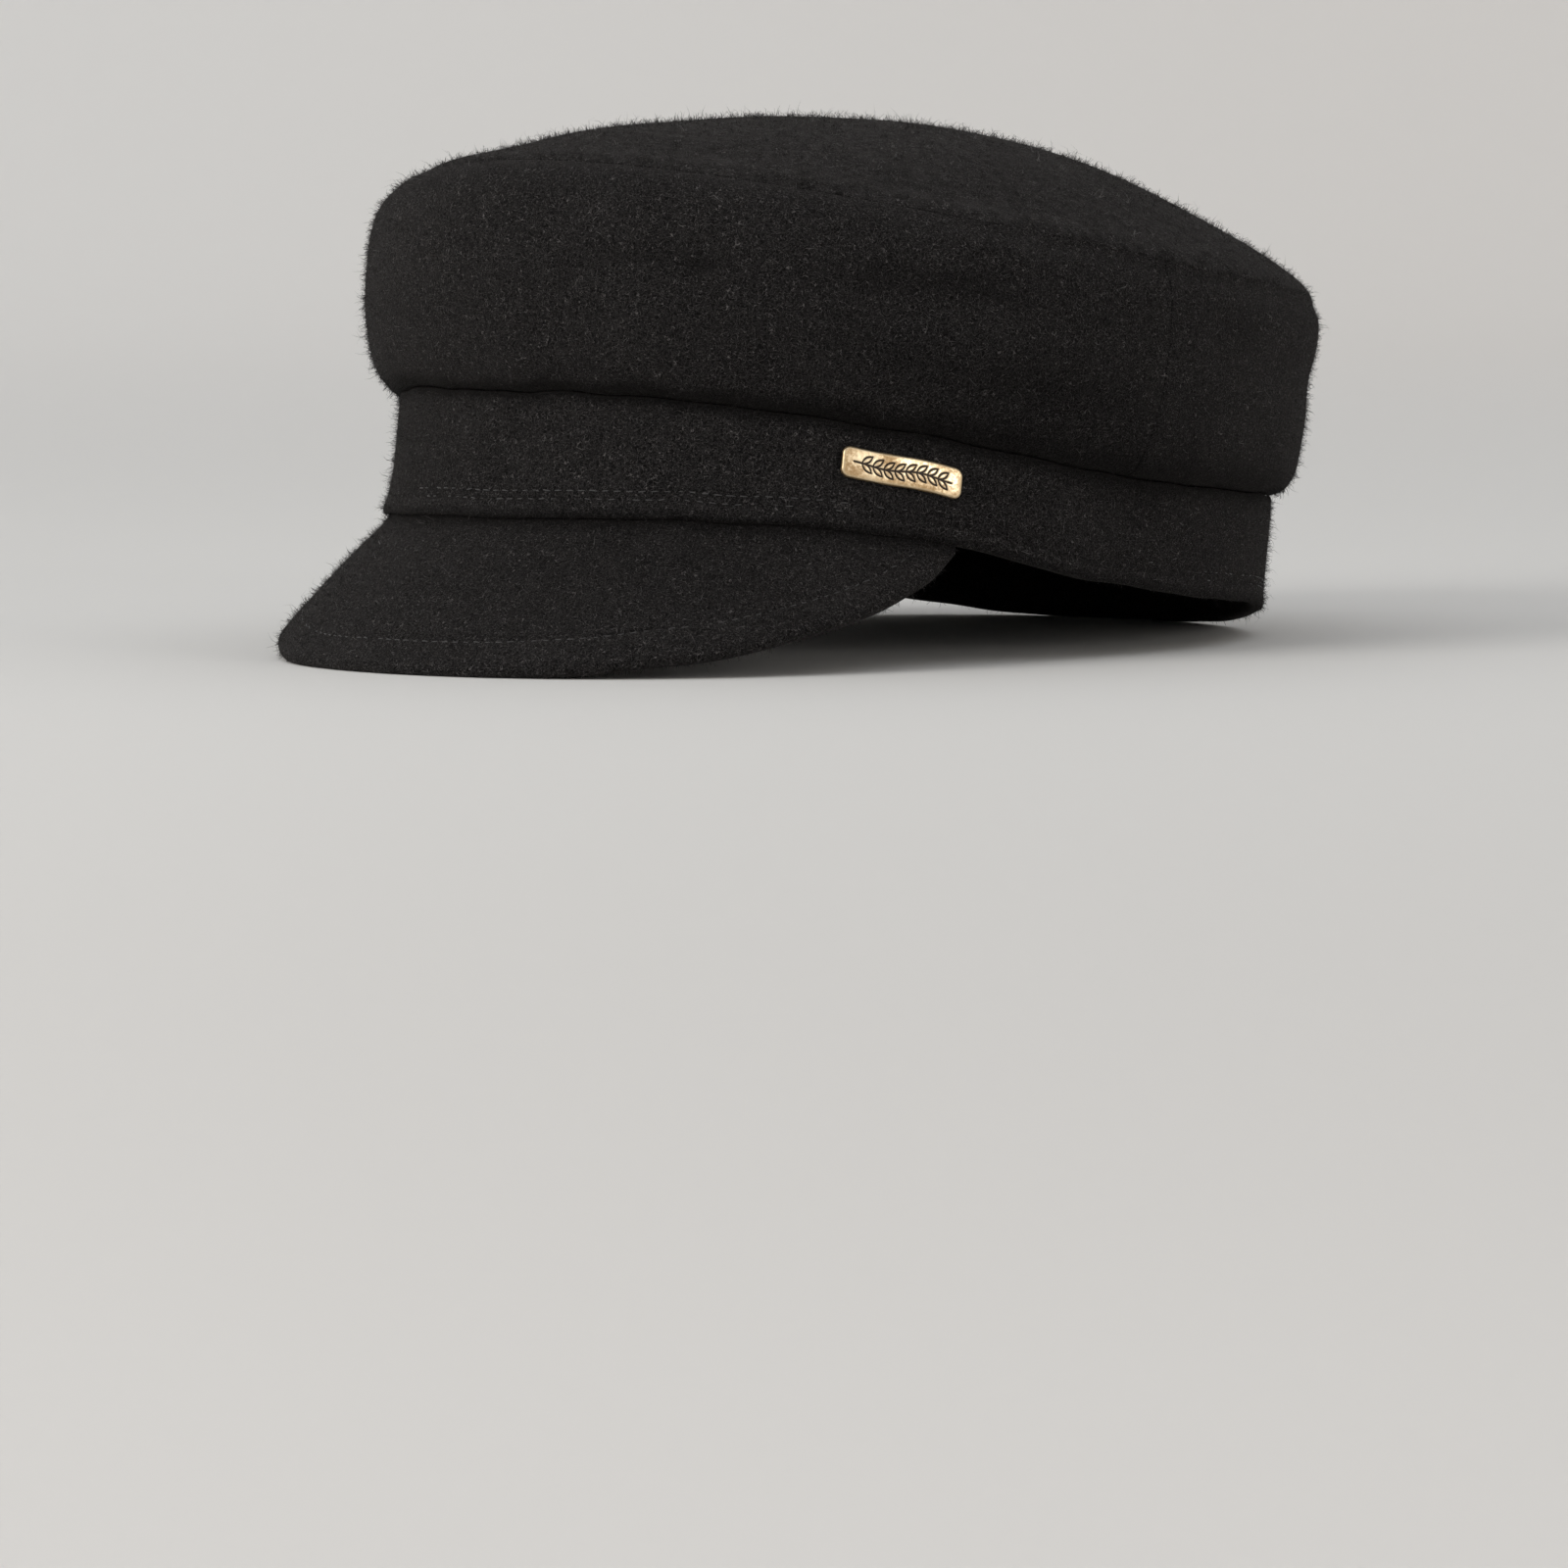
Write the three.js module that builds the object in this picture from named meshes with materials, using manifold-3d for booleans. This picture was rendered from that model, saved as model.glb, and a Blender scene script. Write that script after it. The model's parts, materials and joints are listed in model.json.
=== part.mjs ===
// A skipper cap of dark wool cloth: an upright band, a sloping peak sewn under the band's
// front hem, a full crown wall in a front and a back panel, a domed top panel, and a small
// brass plate. It lies as it rests by itself on a flat surface: on the peak's front edge and
// on the back of the hem, both pressed flat there. Millimetres, +Z up, front along -Y, and
// the wearer's left along +X. Each piece is drawn with the hem's front at height 0, and the
// whole cap is then tilted back and set down.

import * as THREE from "three";
import { ParametricGeometry } from "three/addons/geometries/ParametricGeometry.js";
import { mergeVertices } from "three/addons/utils/BufferGeometryUtils.js";
import Module from "manifold-3d";

const wasm = await Module();
wasm.setup();

// Driving sizes, with a value at the front, at the sides and at the back where they vary

const HALF_LENGTH = 104.5;
const HALF_WIDTH = 85.5;
const EGG = 0.03;

const HEM = { front: 0, side: 5, back: -0.8 };
const JOINT = { front: 28.5, side: 23.8, back: 29 };
const SEAM = { front: 75.2, side: 68.6, back: 73 };
const SEAM_OUT = { front: 0.8, side: 5.2, back: 4.4 };
const FLARE = { front: 1.6, side: 0.5, back: 0.4 };

const BAND_WALL = 3;
const BAND_EDGE = 0.8;
const FLARE_HALVED_UP = 4.5;
const FLARE_GONE_UP = 10;
const CROWN_WALL = 2.4;
const GAP = 0.3;

const APEX_BACK = 19;
const APEX_RISE = 26.7;
const SIDE_SEAM_Y = -4;

const PEAK_REACH = 41;
const PEAK_END_REACH = 1.2;
const PEAK_END = 64;
const PEAK_FULLNESS = 2.75;
const PEAK_SLOPE = 52;
const PEAK_THICK = 3.4;
const PEAK_INSET = 0.4;

const PLATE_AT = 56.1;
const PLATE_ABOVE_HEM = 13.3;
const PLATE_SLANT = 3.7;
const PLATE_LENGTH = 26.1;
const PLATE_HEIGHT = 6.4;
const PLATE_THICK = 1.1;
const PLATE_BEVEL = 0.45;
const PLATE_DOME = 0.15;
const PLATE_CORNER = 1.7;

const PRESS = 0.8;
const AROUND = 64;
const PEAK_STEPS = 36;
const WALL_STEPS = 14;
const CUTTING_BLOCK = 400;

// Soft waves of the hem, which sags behind the peak's ends, and of the joint between the band
// and the crown: the angle of each one's middle, its spread, and how far up it goes.
const HEM_WAVES = [
  { at: 93, wide: 26, height: -6.5 },
  { at: -93, wide: 26, height: -6.5 },
  { at: 36, wide: 34, height: 1 },
  { at: 96, wide: 10, height: 1.2 },
];
const JOINT_WAVES = [
  { at: -52, wide: 30, height: 2 },
  { at: 0, wide: 24, height: -1.8 },
  { at: 92, wide: 22, height: -1.5 },
];

// Outward bulge of the crown's wall beyond the band, row by row from the joint up to the seam.
// rise is the share of that height, and front and back are the bulge there.
const WALL_ROWS = [
  { rise: 0.0, front: 0, back: 0 },
  { rise: 0.03, front: 2.3, back: 2.6 },
  { rise: 0.1, front: 5.1, back: 4.0 },
  { rise: 0.2, front: 7.5, back: 4.4 },
  { rise: 0.38, front: 9.8, back: 4.7 },
  { rise: 0.56, front: 10.5, back: 5.3 },
  { rise: 0.72, front: 10.0, back: 5.8 },
  { rise: 0.85, front: 8.3, back: 6.2 },
  { rise: 0.94, front: 5.0, back: 5.5 },
];

// Soft dents in the crown's wall: the angle round the cap and the rise of each one's middle,
// its spread either way, and its depth.
const WALL_DENTS = [
  { at: 60, rise: 0.7, wide: 13, tall: 0.07, depth: 1.8 },
  { at: 28, rise: 0.6, wide: 8, tall: 0.06, depth: 1.1 },
  { at: -48, rise: 0.6, wide: 16, tall: 0.09, depth: 1.1 },
  { at: -112, rise: 0.68, wide: 14, tall: 0.08, depth: 1.0 },
  { at: 128, rise: 0.55, wide: 15, tall: 0.1, depth: 1.0 },
  { at: 176, rise: 0.7, wide: 12, tall: 0.07, depth: 0.9 },
];

// Shallow hollows in the top panel: the angle and the share of the way from the apex to the
// seam of each one's middle, its spread, and its depth.
const TIP_HOLLOWS = [
  { at: 26, reach: 0.88, wide: 16, tall: 0.05, depth: 0.9 },
  { at: -34, reach: 0.86, wide: 14, tall: 0.06, depth: 0.8 },
  { at: 150, reach: 0.7, wide: 25, tall: 0.12, depth: 0.7 },
];

// Shares of the way from the apex to the seam at which the top panel has a ring of corners
const TIP_RINGS = [0, 0.22, 0.42, 0.6, 0.75, 0.87, 0.95, 1];

// Shares of the wall's height at which its inner side has a row of corners
const INNER_ROWS = [0.1, 0.2, 0.35, 0.5, 0.65, 0.8, 0.9];

// Shares of the peak's reach with corners on its underside and on its top, and the turns, in
// degrees, of those on its rounded edge
const PEAK_UNDER_ROWS = [0.35, 0.7, 1];
const PEAK_EDGE_TURNS = [135, 90, 45];
const PEAK_TOP_ROWS = [1, 0.85, 0.62, 0.3, 0];

// Places of the plate's cross-sections: shares of its corner radius in from each end, and
// shares of half its length out from the middle
const PLATE_END_CUTS = [0, 0, 0.15, 0.47, 1];
const PLATE_MIDDLE_CUTS = [0.55, 0.25];

const radians = THREE.MathUtils.degToRad;
const lerp = THREE.MathUtils.lerp;

// A size at an angle round the cap, worked out smoothly from its front, side and back values
function around(size, angle) {
  const ends = (size.front + size.back) / 2;
  const lean = (size.front - size.back) / 2;
  const middle = (ends + size.side) / 2;
  return middle + lean * Math.cos(angle) + (ends - middle) * Math.cos(2 * angle);
}

// A point at an angle round the band's oval, moved outward from it, at a height
function onOval(angle, outward, height) {
  const x = HALF_WIDTH * Math.sin(angle) * (1 - EGG * Math.cos(angle));
  const y = -HALF_LENGTH * Math.cos(angle);
  const nx = HALF_LENGTH * Math.sin(angle);
  const ny = -HALF_WIDTH * Math.cos(angle);
  const scale = outward / Math.hypot(nx, ny);
  return new THREE.Vector3(x + nx * scale, y + ny * scale, height);
}

// The turn from one angle to another, the short way round
function turnBetween(from, to) {
  return Math.atan2(Math.sin(to - from), Math.cos(to - from));
}

// How far up the rows of a table of waves go at an angle
function wavesAt(rows, angle) {
  let height = 0;
  for (const row of rows) {
    const across = turnBetween(radians(row.at), angle) / radians(row.wide);
    height += row.height * Math.exp(-across * across);
  }
  return height;
}

// The heights of the hem and of the joint at an angle
const hemAt = (angle) => around(HEM, angle) + wavesAt(HEM_WAVES, angle);
const jointAt = (angle) => around(JOINT, angle) + wavesAt(JOINT_WAVES, angle);

// How deep the rows of a table of dents press at an angle and at a share of the height or reach
function dentDepth(rows, key, angle, share) {
  let depth = 0;
  for (const row of rows) {
    const across = turnBetween(radians(row.at), angle) / radians(row.wide);
    const up = (share - row[key]) / row.tall;
    depth += row.depth * Math.exp(-across * across - up * up);
  }
  return depth;
}

// Makes a solid of a closed surface, once its shared corners are merged
function toSolid(geometry) {
  geometry.deleteAttribute("normal");
  geometry.deleteAttribute("uv");
  const merged = mergeVertices(geometry, 1e-3);
  const kept = [];
  const index = merged.index.array;
  for (let i = 0; i < index.length; i += 3) {
    const [a, b, c] = [index[i], index[i + 1], index[i + 2]];
    if (a !== b && b !== c && c !== a) kept.push(a, b, c);
  }
  const mesh = new wasm.Mesh({
    numProp: 3,
    vertProperties: new Float32Array(merged.attributes.position.array),
    triVerts: new Uint32Array(kept),
  });
  return new wasm.Manifold(mesh);
}

// Carries a loop of [outward, height] points past a list of angles. Pinched ends close on the
// middle of the first and of the last loop, and otherwise the last loop is the first again.
function sweep(section, angles, pinched) {
  const loops = angles.map((angle) => section(angle).map(([out, up]) => onOval(angle, out, up)));
  if (pinched) {
    const middle = (loop) => {
      const sum = loop.reduce((total, point) => total.add(point), new THREE.Vector3());
      return loop.map(() => sum.clone().divideScalar(loop.length));
    };
    loops[0] = middle(loops[0]);
    loops[loops.length - 1] = middle(loops[loops.length - 1]);
  }
  return fromLoops(loops);
}

// A closed surface through a list of loops of points
function fromLoops(loops) {
  const count = loops[0].length;
  const steps = loops.length - 1;
  const geometry = new ParametricGeometry(
    (s, t, target) => {
      const loop = loops[THREE.MathUtils.clamp(Math.round(s * steps), 0, steps)];
      target.copy(loop[((Math.round(t * count) % count) + count) % count]);
    },
    steps,
    count,
  );
  return toSolid(geometry);
}

// Angles all the way round, the first one again at the end
const ringAngles = Array.from({ length: AROUND + 1 }, (_, i) => radians(((i % AROUND) / AROUND) * 360));

// Band: folded cloth, its hem flared a little at the front and its edges rounded off
function bandSection(angle) {
  const hem = hemAt(angle);
  const head = jointAt(angle) - GAP;
  const flare = around(FLARE, angle);
  return [
    [-BAND_WALL, hem + BAND_EDGE],
    [-BAND_WALL + BAND_EDGE, hem],
    [flare - BAND_EDGE, hem],
    [flare, hem + BAND_EDGE],
    [flare / 2, hem + FLARE_HALVED_UP],
    [0, hem + FLARE_GONE_UP],
    [0, head - BAND_EDGE],
    [-BAND_EDGE, head],
    [-BAND_WALL, head],
  ];
}

// Crown wall: the outer curve from the joint up to the seam
function wallCurve(angle) {
  const joint = jointAt(angle);
  const rise = around(SEAM, angle) - joint;
  const towardFront = (1 + Math.cos(angle)) / 2;
  const points = WALL_ROWS.map((row) => {
    const bulge = lerp(row.back, row.front, towardFront);
    const dent = dentDepth(WALL_DENTS, "rise", angle, row.rise);
    return new THREE.Vector2(bulge - dent, joint + row.rise * rise);
  });
  points.push(new THREE.Vector2(around(SEAM_OUT, angle), joint + rise));
  return new THREE.SplineCurve(points);
}

// Ways at the seam, outward and up: through the cloth to its inside, and across from the wall
// to the top panel
const SEAM_INWARD = new THREE.Vector2(-0.63, -0.78);
const SEAM_ACROSS = new THREE.Vector2(-0.78, 0.63);

// Crown wall: its foot is turned in over the band's head, and its top meets the top panel
function wallSection(angle) {
  const curve = wallCurve(angle);
  const joint = jointAt(angle);
  const outer = curve.getPoints(WALL_STEPS);
  const inner = [];
  for (const share of INNER_ROWS) {
    const tangent = curve.getTangent(share);
    const inward = new THREE.Vector2(-tangent.y, tangent.x);
    inner.unshift(curve.getPoint(share).addScaledVector(inward, CROWN_WALL));
  }
  const top = outer[outer.length - 1].clone().addScaledVector(SEAM_INWARD, CROWN_WALL);
  const points = [...outer, top, ...inner].map((point) => [point.x, point.y]);
  return [...points, [-BAND_WALL, joint + CROWN_WALL], [-BAND_WALL, joint]];
}

// Top panel: rings from the apex out to the seam on the inside, and back on the outside
function tipLoop(angle) {
  const seam = new THREE.Vector2(around(SEAM_OUT, angle), around(SEAM, angle));
  seam.addScaledVector(SEAM_ACROSS, GAP);
  const inside = seam.clone().addScaledVector(SEAM_INWARD, CROWN_WALL);
  const apexHeight = (SEAM.front + 2 * SEAM.side + SEAM.back) / 4 + APEX_RISE;
  const face = (rim, apexUp, share) => {
    const edge = onOval(angle, rim.x, rim.y);
    const up = lerp(apexUp, rim.y, share * share) - dentDepth(TIP_HOLLOWS, "reach", angle, share);
    return new THREE.Vector3(edge.x * share, lerp(APEX_BACK, edge.y, share), up);
  };
  const underside = TIP_RINGS.map((share) => face(inside, apexHeight - CROWN_WALL, share));
  const outside = TIP_RINGS.map((share) => face(seam, apexHeight, share));
  return [...underside, ...outside.reverse()];
}

const slope = radians(PEAK_SLOPE);

// Peak: a flat-sided slope from under the hem, with a rounded edge
function peakSection(angle) {
  const share = Math.min(Math.abs(angle) / radians(PEAK_END), 1);
  const reach = lerp(PEAK_END_REACH, PEAK_REACH, 1 - Math.pow(share, PEAK_FULLNESS));
  const root = hemAt(angle) - GAP;
  const along = new THREE.Vector2(Math.cos(slope), -Math.sin(slope));
  const out = new THREE.Vector2(Math.sin(slope), Math.cos(slope));
  const radius = PEAK_THICK / 2;
  const start = new THREE.Vector2(-PEAK_INSET, root);
  const on = (distance, depth) => {
    return start.clone().addScaledVector(along, distance).addScaledVector(out, -depth);
  };
  const points = [new THREE.Vector2(-PEAK_INSET - PEAK_THICK / Math.sin(slope), root)];
  for (const part of PEAK_UNDER_ROWS) points.push(on(reach * part, PEAK_THICK));
  for (const turn of PEAK_EDGE_TURNS) {
    const a = radians(turn);
    points.push(on(reach + radius * Math.sin(a), radius - radius * Math.cos(a)));
  }
  for (const part of PEAK_TOP_ROWS) points.push(on(reach * part, 0));
  return points.map((point) => [point.x, point.y]);
}

// Plate: curved with the band and set a little aslant, with round corners and a bevelled,
// slightly domed face
const platePerAngle = Math.hypot(
  HALF_WIDTH * Math.cos(radians(PLATE_AT)),
  HALF_LENGTH * Math.sin(radians(PLATE_AT)),
);

function plateSection(angle) {
  const along = (angle - radians(PLATE_AT)) * platePerAngle;
  const past = Math.max(Math.abs(along) - (PLATE_LENGTH / 2 - PLATE_CORNER), 0);
  const round = Math.sqrt(Math.max(PLATE_CORNER * PLATE_CORNER - past * past, 0));
  const half = PLATE_HEIGHT / 2 - PLATE_CORNER + round;
  const middle = hemAt(angle) + PLATE_ABOVE_HEM - along * Math.tan(radians(PLATE_SLANT));
  const face = GAP + PLATE_THICK;
  return [
    [GAP, middle - half],
    [face - PLATE_BEVEL, middle - half],
    [face, middle - half + PLATE_BEVEL],
    [face + PLATE_DOME, middle],
    [face, middle + half - PLATE_BEVEL],
    [face - PLATE_BEVEL, middle + half],
    [GAP, middle + half],
  ];
}

function plateAngles() {
  const half = PLATE_LENGTH / 2;
  const ends = PLATE_END_CUTS.map((share) => half - share * PLATE_CORNER);
  const turns = [...ends, ...PLATE_MIDDLE_CUTS.map((share) => half * share)];
  const side = turns.map((distance) => distance / platePerAngle);
  const all = [...side.map((turn) => -turn), 0, ...[...side].reverse()];
  return all.map((turn) => radians(PLATE_AT) + turn);
}

// The cap tilts back until a line under it touches the peak's rounded edge and the back hem
const edgeCentre = {
  y: -(HALF_LENGTH - PEAK_INSET + PEAK_REACH * Math.cos(slope) - (PEAK_THICK / 2) * Math.sin(slope)),
  z: hemAt(0) - GAP - PEAK_REACH * Math.sin(slope) - (PEAK_THICK / 2) * Math.cos(slope),
};
const backHem = { y: HALF_LENGTH + FLARE.back - BAND_EDGE, z: hemAt(Math.PI) };
const stretch = Math.hypot(backHem.y - edgeCentre.y, backHem.z - edgeCentre.z);
const tilt =
  Math.atan2(backHem.z - edgeCentre.z, backHem.y - edgeCentre.y) + Math.asin(PEAK_THICK / 2 / stretch);

const cap = new THREE.Group();
cap.rotation.x = -tilt;
cap.position.z = backHem.y * Math.sin(tilt) - backHem.z * Math.cos(tilt) - PRESS;
cap.updateMatrix();

// Takes away what would reach below the surface that the cap rests on
function pressFlat(solid) {
  const ground = new THREE.BoxGeometry(CUTTING_BLOCK, CUTTING_BLOCK, CUTTING_BLOCK);
  ground.translate(0, 0, -CUTTING_BLOCK / 2);
  ground.applyMatrix4(cap.matrix.clone().invert());
  return solid.subtract(toSolid(ground));
}

// Keeps the part of a solid on one side of the upright plane of the side seams
function panel(solid, toward) {
  const block = new THREE.BoxGeometry(CUTTING_BLOCK, CUTTING_BLOCK, CUTTING_BLOCK);
  block.translate(0, SIDE_SEAM_Y + toward * (CUTTING_BLOCK / 2 + GAP / 2), 0);
  return solid.intersect(toSolid(block));
}

function addPiece(name, solid, finish) {
  const mesh = solid.getMesh();
  const geometry = new THREE.BufferGeometry();
  geometry.setAttribute("position", new THREE.BufferAttribute(mesh.vertProperties, mesh.numProp));
  geometry.setIndex(new THREE.BufferAttribute(mesh.triVerts, 1));
  geometry.computeVertexNormals();
  const piece = new THREE.Mesh(geometry, new THREE.MeshStandardMaterial(finish));
  piece.name = name;
  cap.add(piece);
}

const wool = { color: 0x242223, roughness: 0.95, metalness: 0 };
const brass = { color: 0xb79a63, roughness: 0.42, metalness: 0.9 };

// Angles from one end of the peak to the other, with each end twice to close it
const peakAngles = Array.from({ length: PEAK_STEPS + 1 }, (_, i) => {
  return radians(lerp(-PEAK_END, PEAK_END, i / PEAK_STEPS));
});
peakAngles.unshift(peakAngles[0]);
peakAngles.push(peakAngles[peakAngles.length - 1]);

const wall = sweep(wallSection, ringAngles, false);

addPiece("crown_tip", fromLoops(ringAngles.map(tipLoop)), wool);
addPiece("crown_front", panel(wall, -1), wool);
addPiece("crown_back", panel(wall, 1), wool);
addPiece("band", pressFlat(sweep(bandSection, ringAngles, false)), wool);
addPiece("peak", pressFlat(sweep(peakSection, peakAngles, true)), wool);
addPiece("badge", sweep(plateSection, plateAngles(), true), brass);

// The box round the whole cap is centred over the origin
const group = new THREE.Group();
group.add(cap);
group.updateMatrixWorld(true);
const middle = new THREE.Box3().setFromObject(group, true).getCenter(new THREE.Vector3());
cap.position.x -= middle.x;
cap.position.y -= middle.y;
group.updateMatrixWorld(true);

export default group;
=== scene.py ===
import json
import math

import bmesh
import bpy
import numpy as np
from mathutils import Matrix, Vector

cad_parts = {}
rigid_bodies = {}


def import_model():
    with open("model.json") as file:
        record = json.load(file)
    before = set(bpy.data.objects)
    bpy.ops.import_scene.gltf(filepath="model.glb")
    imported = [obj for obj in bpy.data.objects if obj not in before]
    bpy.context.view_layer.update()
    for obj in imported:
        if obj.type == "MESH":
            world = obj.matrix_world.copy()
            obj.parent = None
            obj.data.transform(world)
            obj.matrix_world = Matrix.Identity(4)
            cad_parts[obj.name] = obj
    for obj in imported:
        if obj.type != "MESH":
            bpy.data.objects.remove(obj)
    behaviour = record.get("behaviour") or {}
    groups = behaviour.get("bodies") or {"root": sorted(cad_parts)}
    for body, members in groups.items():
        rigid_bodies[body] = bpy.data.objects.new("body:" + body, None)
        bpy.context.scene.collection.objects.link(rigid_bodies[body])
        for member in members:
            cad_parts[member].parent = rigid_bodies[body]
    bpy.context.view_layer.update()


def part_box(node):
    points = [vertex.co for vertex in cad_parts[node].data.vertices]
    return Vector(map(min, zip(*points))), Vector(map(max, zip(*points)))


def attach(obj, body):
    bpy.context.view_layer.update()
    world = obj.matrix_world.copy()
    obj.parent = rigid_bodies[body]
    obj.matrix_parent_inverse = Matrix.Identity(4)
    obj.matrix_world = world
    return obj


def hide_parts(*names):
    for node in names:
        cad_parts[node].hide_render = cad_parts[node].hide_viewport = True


for spare in list(bpy.data.objects):
    bpy.data.objects.remove(spare)
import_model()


# How the cap lies. It is drawn upright in millimetres, with the front of its hem at height 0
# and its turns counted from the front towards the wearer's left. It then tips back until the
# peak's edge and the back of the hem lie on the surface.
HALF_LENGTH, HALF_WIDTH, EGG = 104.5, 85.5, 0.03
HEM_HEIGHT = (0, 5, -0.8)
HEM_WAVES = (
    # turn of the middle, spread, height
    (93, 26, -6.5),
    (-93, 26, -6.5),
    (36, 34, 1),
    (96, 10, 1.2),
)
HEM_RIPPLES = (
    # size, height, seed
    (9, 0.16, 51),
)
JOINT_HEIGHT = (28.5, 23.8, 29)
JOINT_WAVES = (
    # turn of the middle, spread, height
    (-52, 30, 2),
    (0, 24, -1.8),
    (92, 22, -1.5),
)
JOINT_RIPPLES = (
    # size, height, seed
    (9, 0.22, 52),
)
TIP_SEAM_HEIGHT = (75.2, 68.6, 73)
TIP_SEAM_OUT = (0.8, 5.2, 4.4)
HEM_FLARE = (1.6, 0.5, 0.4)
HEM_EDGE = 0.8
PEAK_REACH, PEAK_THICK, PEAK_INSET = 41, 3.4, 0.4
PEAK_SLOPE = math.radians(52)
SEWN_GAP = 0.3
PRESS, PRESS_SOFT = 0.8, 0.12


def around(size, turn):
    front, side, back = size
    ends = (front + back) / 2
    middle = (ends + side) / 2
    return middle + (front - back) / 2 * np.cos(turn) + (ends - middle) * np.cos(2 * turn)


def outward(turn):
    across, along = HALF_LENGTH * np.sin(turn), -HALF_WIDTH * np.cos(turn)
    length = np.hypot(across, along)
    return np.stack([across / length, along / length, 0 * length], -1)


def on_oval(turn, out, up):
    out, up, turn = np.broadcast_arrays(out, up, turn)
    across = HALF_WIDTH * np.sin(turn) * (1 - EGG * np.cos(turn))
    along = -HALF_LENGTH * np.cos(turn)
    return np.stack([across, along, up], -1) + outward(turn) * out[..., None]


def turn_from(place, turn):
    gap = turn - math.radians(place)
    return np.degrees(np.arctan2(np.sin(gap), np.cos(gap)))


def hump(distance, wide):
    return np.exp(-((distance / wide) ** 2))


def waves(table, turn):
    return sum(high * hump(turn_from(place, turn), wide) for place, wide, high in table)


def drift(points, size, seed):
    chance = np.random.default_rng(seed)
    total = 0
    for _ in range(8):
        way = chance.normal(size=3)
        way *= math.pi / (size * chance.uniform(0.7, 1.5) * np.linalg.norm(way))
        total = total + np.sin(points @ way + chance.uniform(0, 2 * math.pi))
    return total / 8**0.5


def ripples(table, points):
    return sum(high * drift(points, size, seed) for size, high, seed in table)


def hem_height(turn):
    uneven = ripples(HEM_RIPPLES, on_oval(turn, 0, 0))
    return around(HEM_HEIGHT, turn) + waves(HEM_WAVES, turn) + uneven


def joint_height(turn):
    uneven = ripples(JOINT_RIPPLES, on_oval(turn, 0, 0))
    return around(JOINT_HEIGHT, turn) + waves(JOINT_WAVES, turn) + uneven


toe_along = -(
    HALF_LENGTH
    - PEAK_INSET
    + PEAK_REACH * math.cos(PEAK_SLOPE)
    - PEAK_THICK / 2 * math.sin(PEAK_SLOPE)
)
toe_up = (
    hem_height(0)
    - SEWN_GAP
    - PEAK_REACH * math.sin(PEAK_SLOPE)
    - PEAK_THICK / 2 * math.cos(PEAK_SLOPE)
)
heel_along = HALF_LENGTH + HEM_FLARE[2] - HEM_EDGE
heel_up = hem_height(math.pi)
rise, run = heel_up - toe_up, heel_along - toe_along
TILT = math.atan2(rise, run) + math.asin(PEAK_THICK / 2 / math.hypot(run, rise))
LIFT = heel_along * math.sin(TILT) - heel_up * math.cos(TILT) - PRESS
toe_front = toe_along * math.cos(TILT) + toe_up * math.sin(TILT) - PEAK_THICK / 2
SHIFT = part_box("peak")[0].y * 1000 - toe_front


def set_down(points, ground=None):
    along = points[..., 1] * math.cos(TILT) + points[..., 2] * math.sin(TILT) + SHIFT
    up = points[..., 2] * math.cos(TILT) - points[..., 1] * math.sin(TILT) + LIFT
    if ground is not None:
        up = ground + PRESS_SOFT * np.logaddexp(0, (up - ground) / PRESS_SOFT)
    return np.stack([points[..., 0], along, up], -1) / 1000


# The crown's wall is two panels of black wool melton, front and back. Their side edges are sewn
# together with the seam turned in, and the cloth stands out over the band in one full roll.
WALL_THICK = 2.4
SIDE_SEAM_TURN = math.acos(4 / HALF_LENGTH)
WALL_ROWS = (
    # share of the height, bulge at the front, bulge at the back
    (0.0, 0, 0),
    (0.03, 2.3, 2.6),
    (0.1, 5.1, 4.0),
    (0.2, 7.5, 4.4),
    (0.38, 9.8, 4.7),
    (0.56, 10.5, 5.3),
    (0.72, 10.0, 5.8),
    (0.85, 8.3, 6.2),
    (0.94, 5.0, 5.5),
)
WALL_DENTS = (
    # turn, share of the height, spread round, spread up, depth
    (53, 0.58, 7, 0.06, 1.7),
    (65, 0.64, 9, 0.06, 2.1),
    (27, 0.53, 9, 0.06, 1.6),
    (68, 0.12, 22, 0.15, 2.0),
    (99, 0.67, 7, 0.06, 1.2),
    (-48, 0.6, 16, 0.09, 0.5),
    (-48, 0.13, 20, 0.1, -1.0),
    (-112, 0.68, 14, 0.08, 1.0),
    (128, 0.55, 15, 0.1, 1.0),
    (176, 0.7, 12, 0.07, 0.9),
)
# Painted shadows in the soft folds of the wall.
WALL_PAINTED_SHADOWS = (
    # turn, share of the height, spread round, spread up, darkness
    (27, 0.58, 9, 0.05, 0.34),
    (49, 0.61, 6, 0.05, 0.34),
    (61, 0.67, 9, 0.055, 0.52),
    (71, 0.3, 24, 0.13, 0.48),
    (99, 0.71, 6, 0.09, 0.34),
    (84, 0.12, 28, 0.1, 0.36),
)
WALL_RIPPLES = (
    # size, height, seed
    (34, 0.2, 3),
    (13, 0.1, 4),
)
SEAM_ROLL, SEAM_ROLL_WIDE = 0.95, 6.0
SEAM_OUT, SEAM_UP = 0.63, 0.78
SEAM_EDGE, SIDE_EDGE = 0.1, 0.28
SIDE_DIP, SIDE_DIP_WIDE = 0.16, 2.4


# Sums soft patches by turn and height, both for dents in the shape and for painted shade.
def dent_and_shade_patches(dents, turn, share):
    depth = 0
    for place, reach, wide, tall, deep in dents:
        across = turn_from(place, turn) / wide
        depth = depth + deep * np.exp(-(across**2) - ((share - reach) / tall) ** 2)
    return depth


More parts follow.
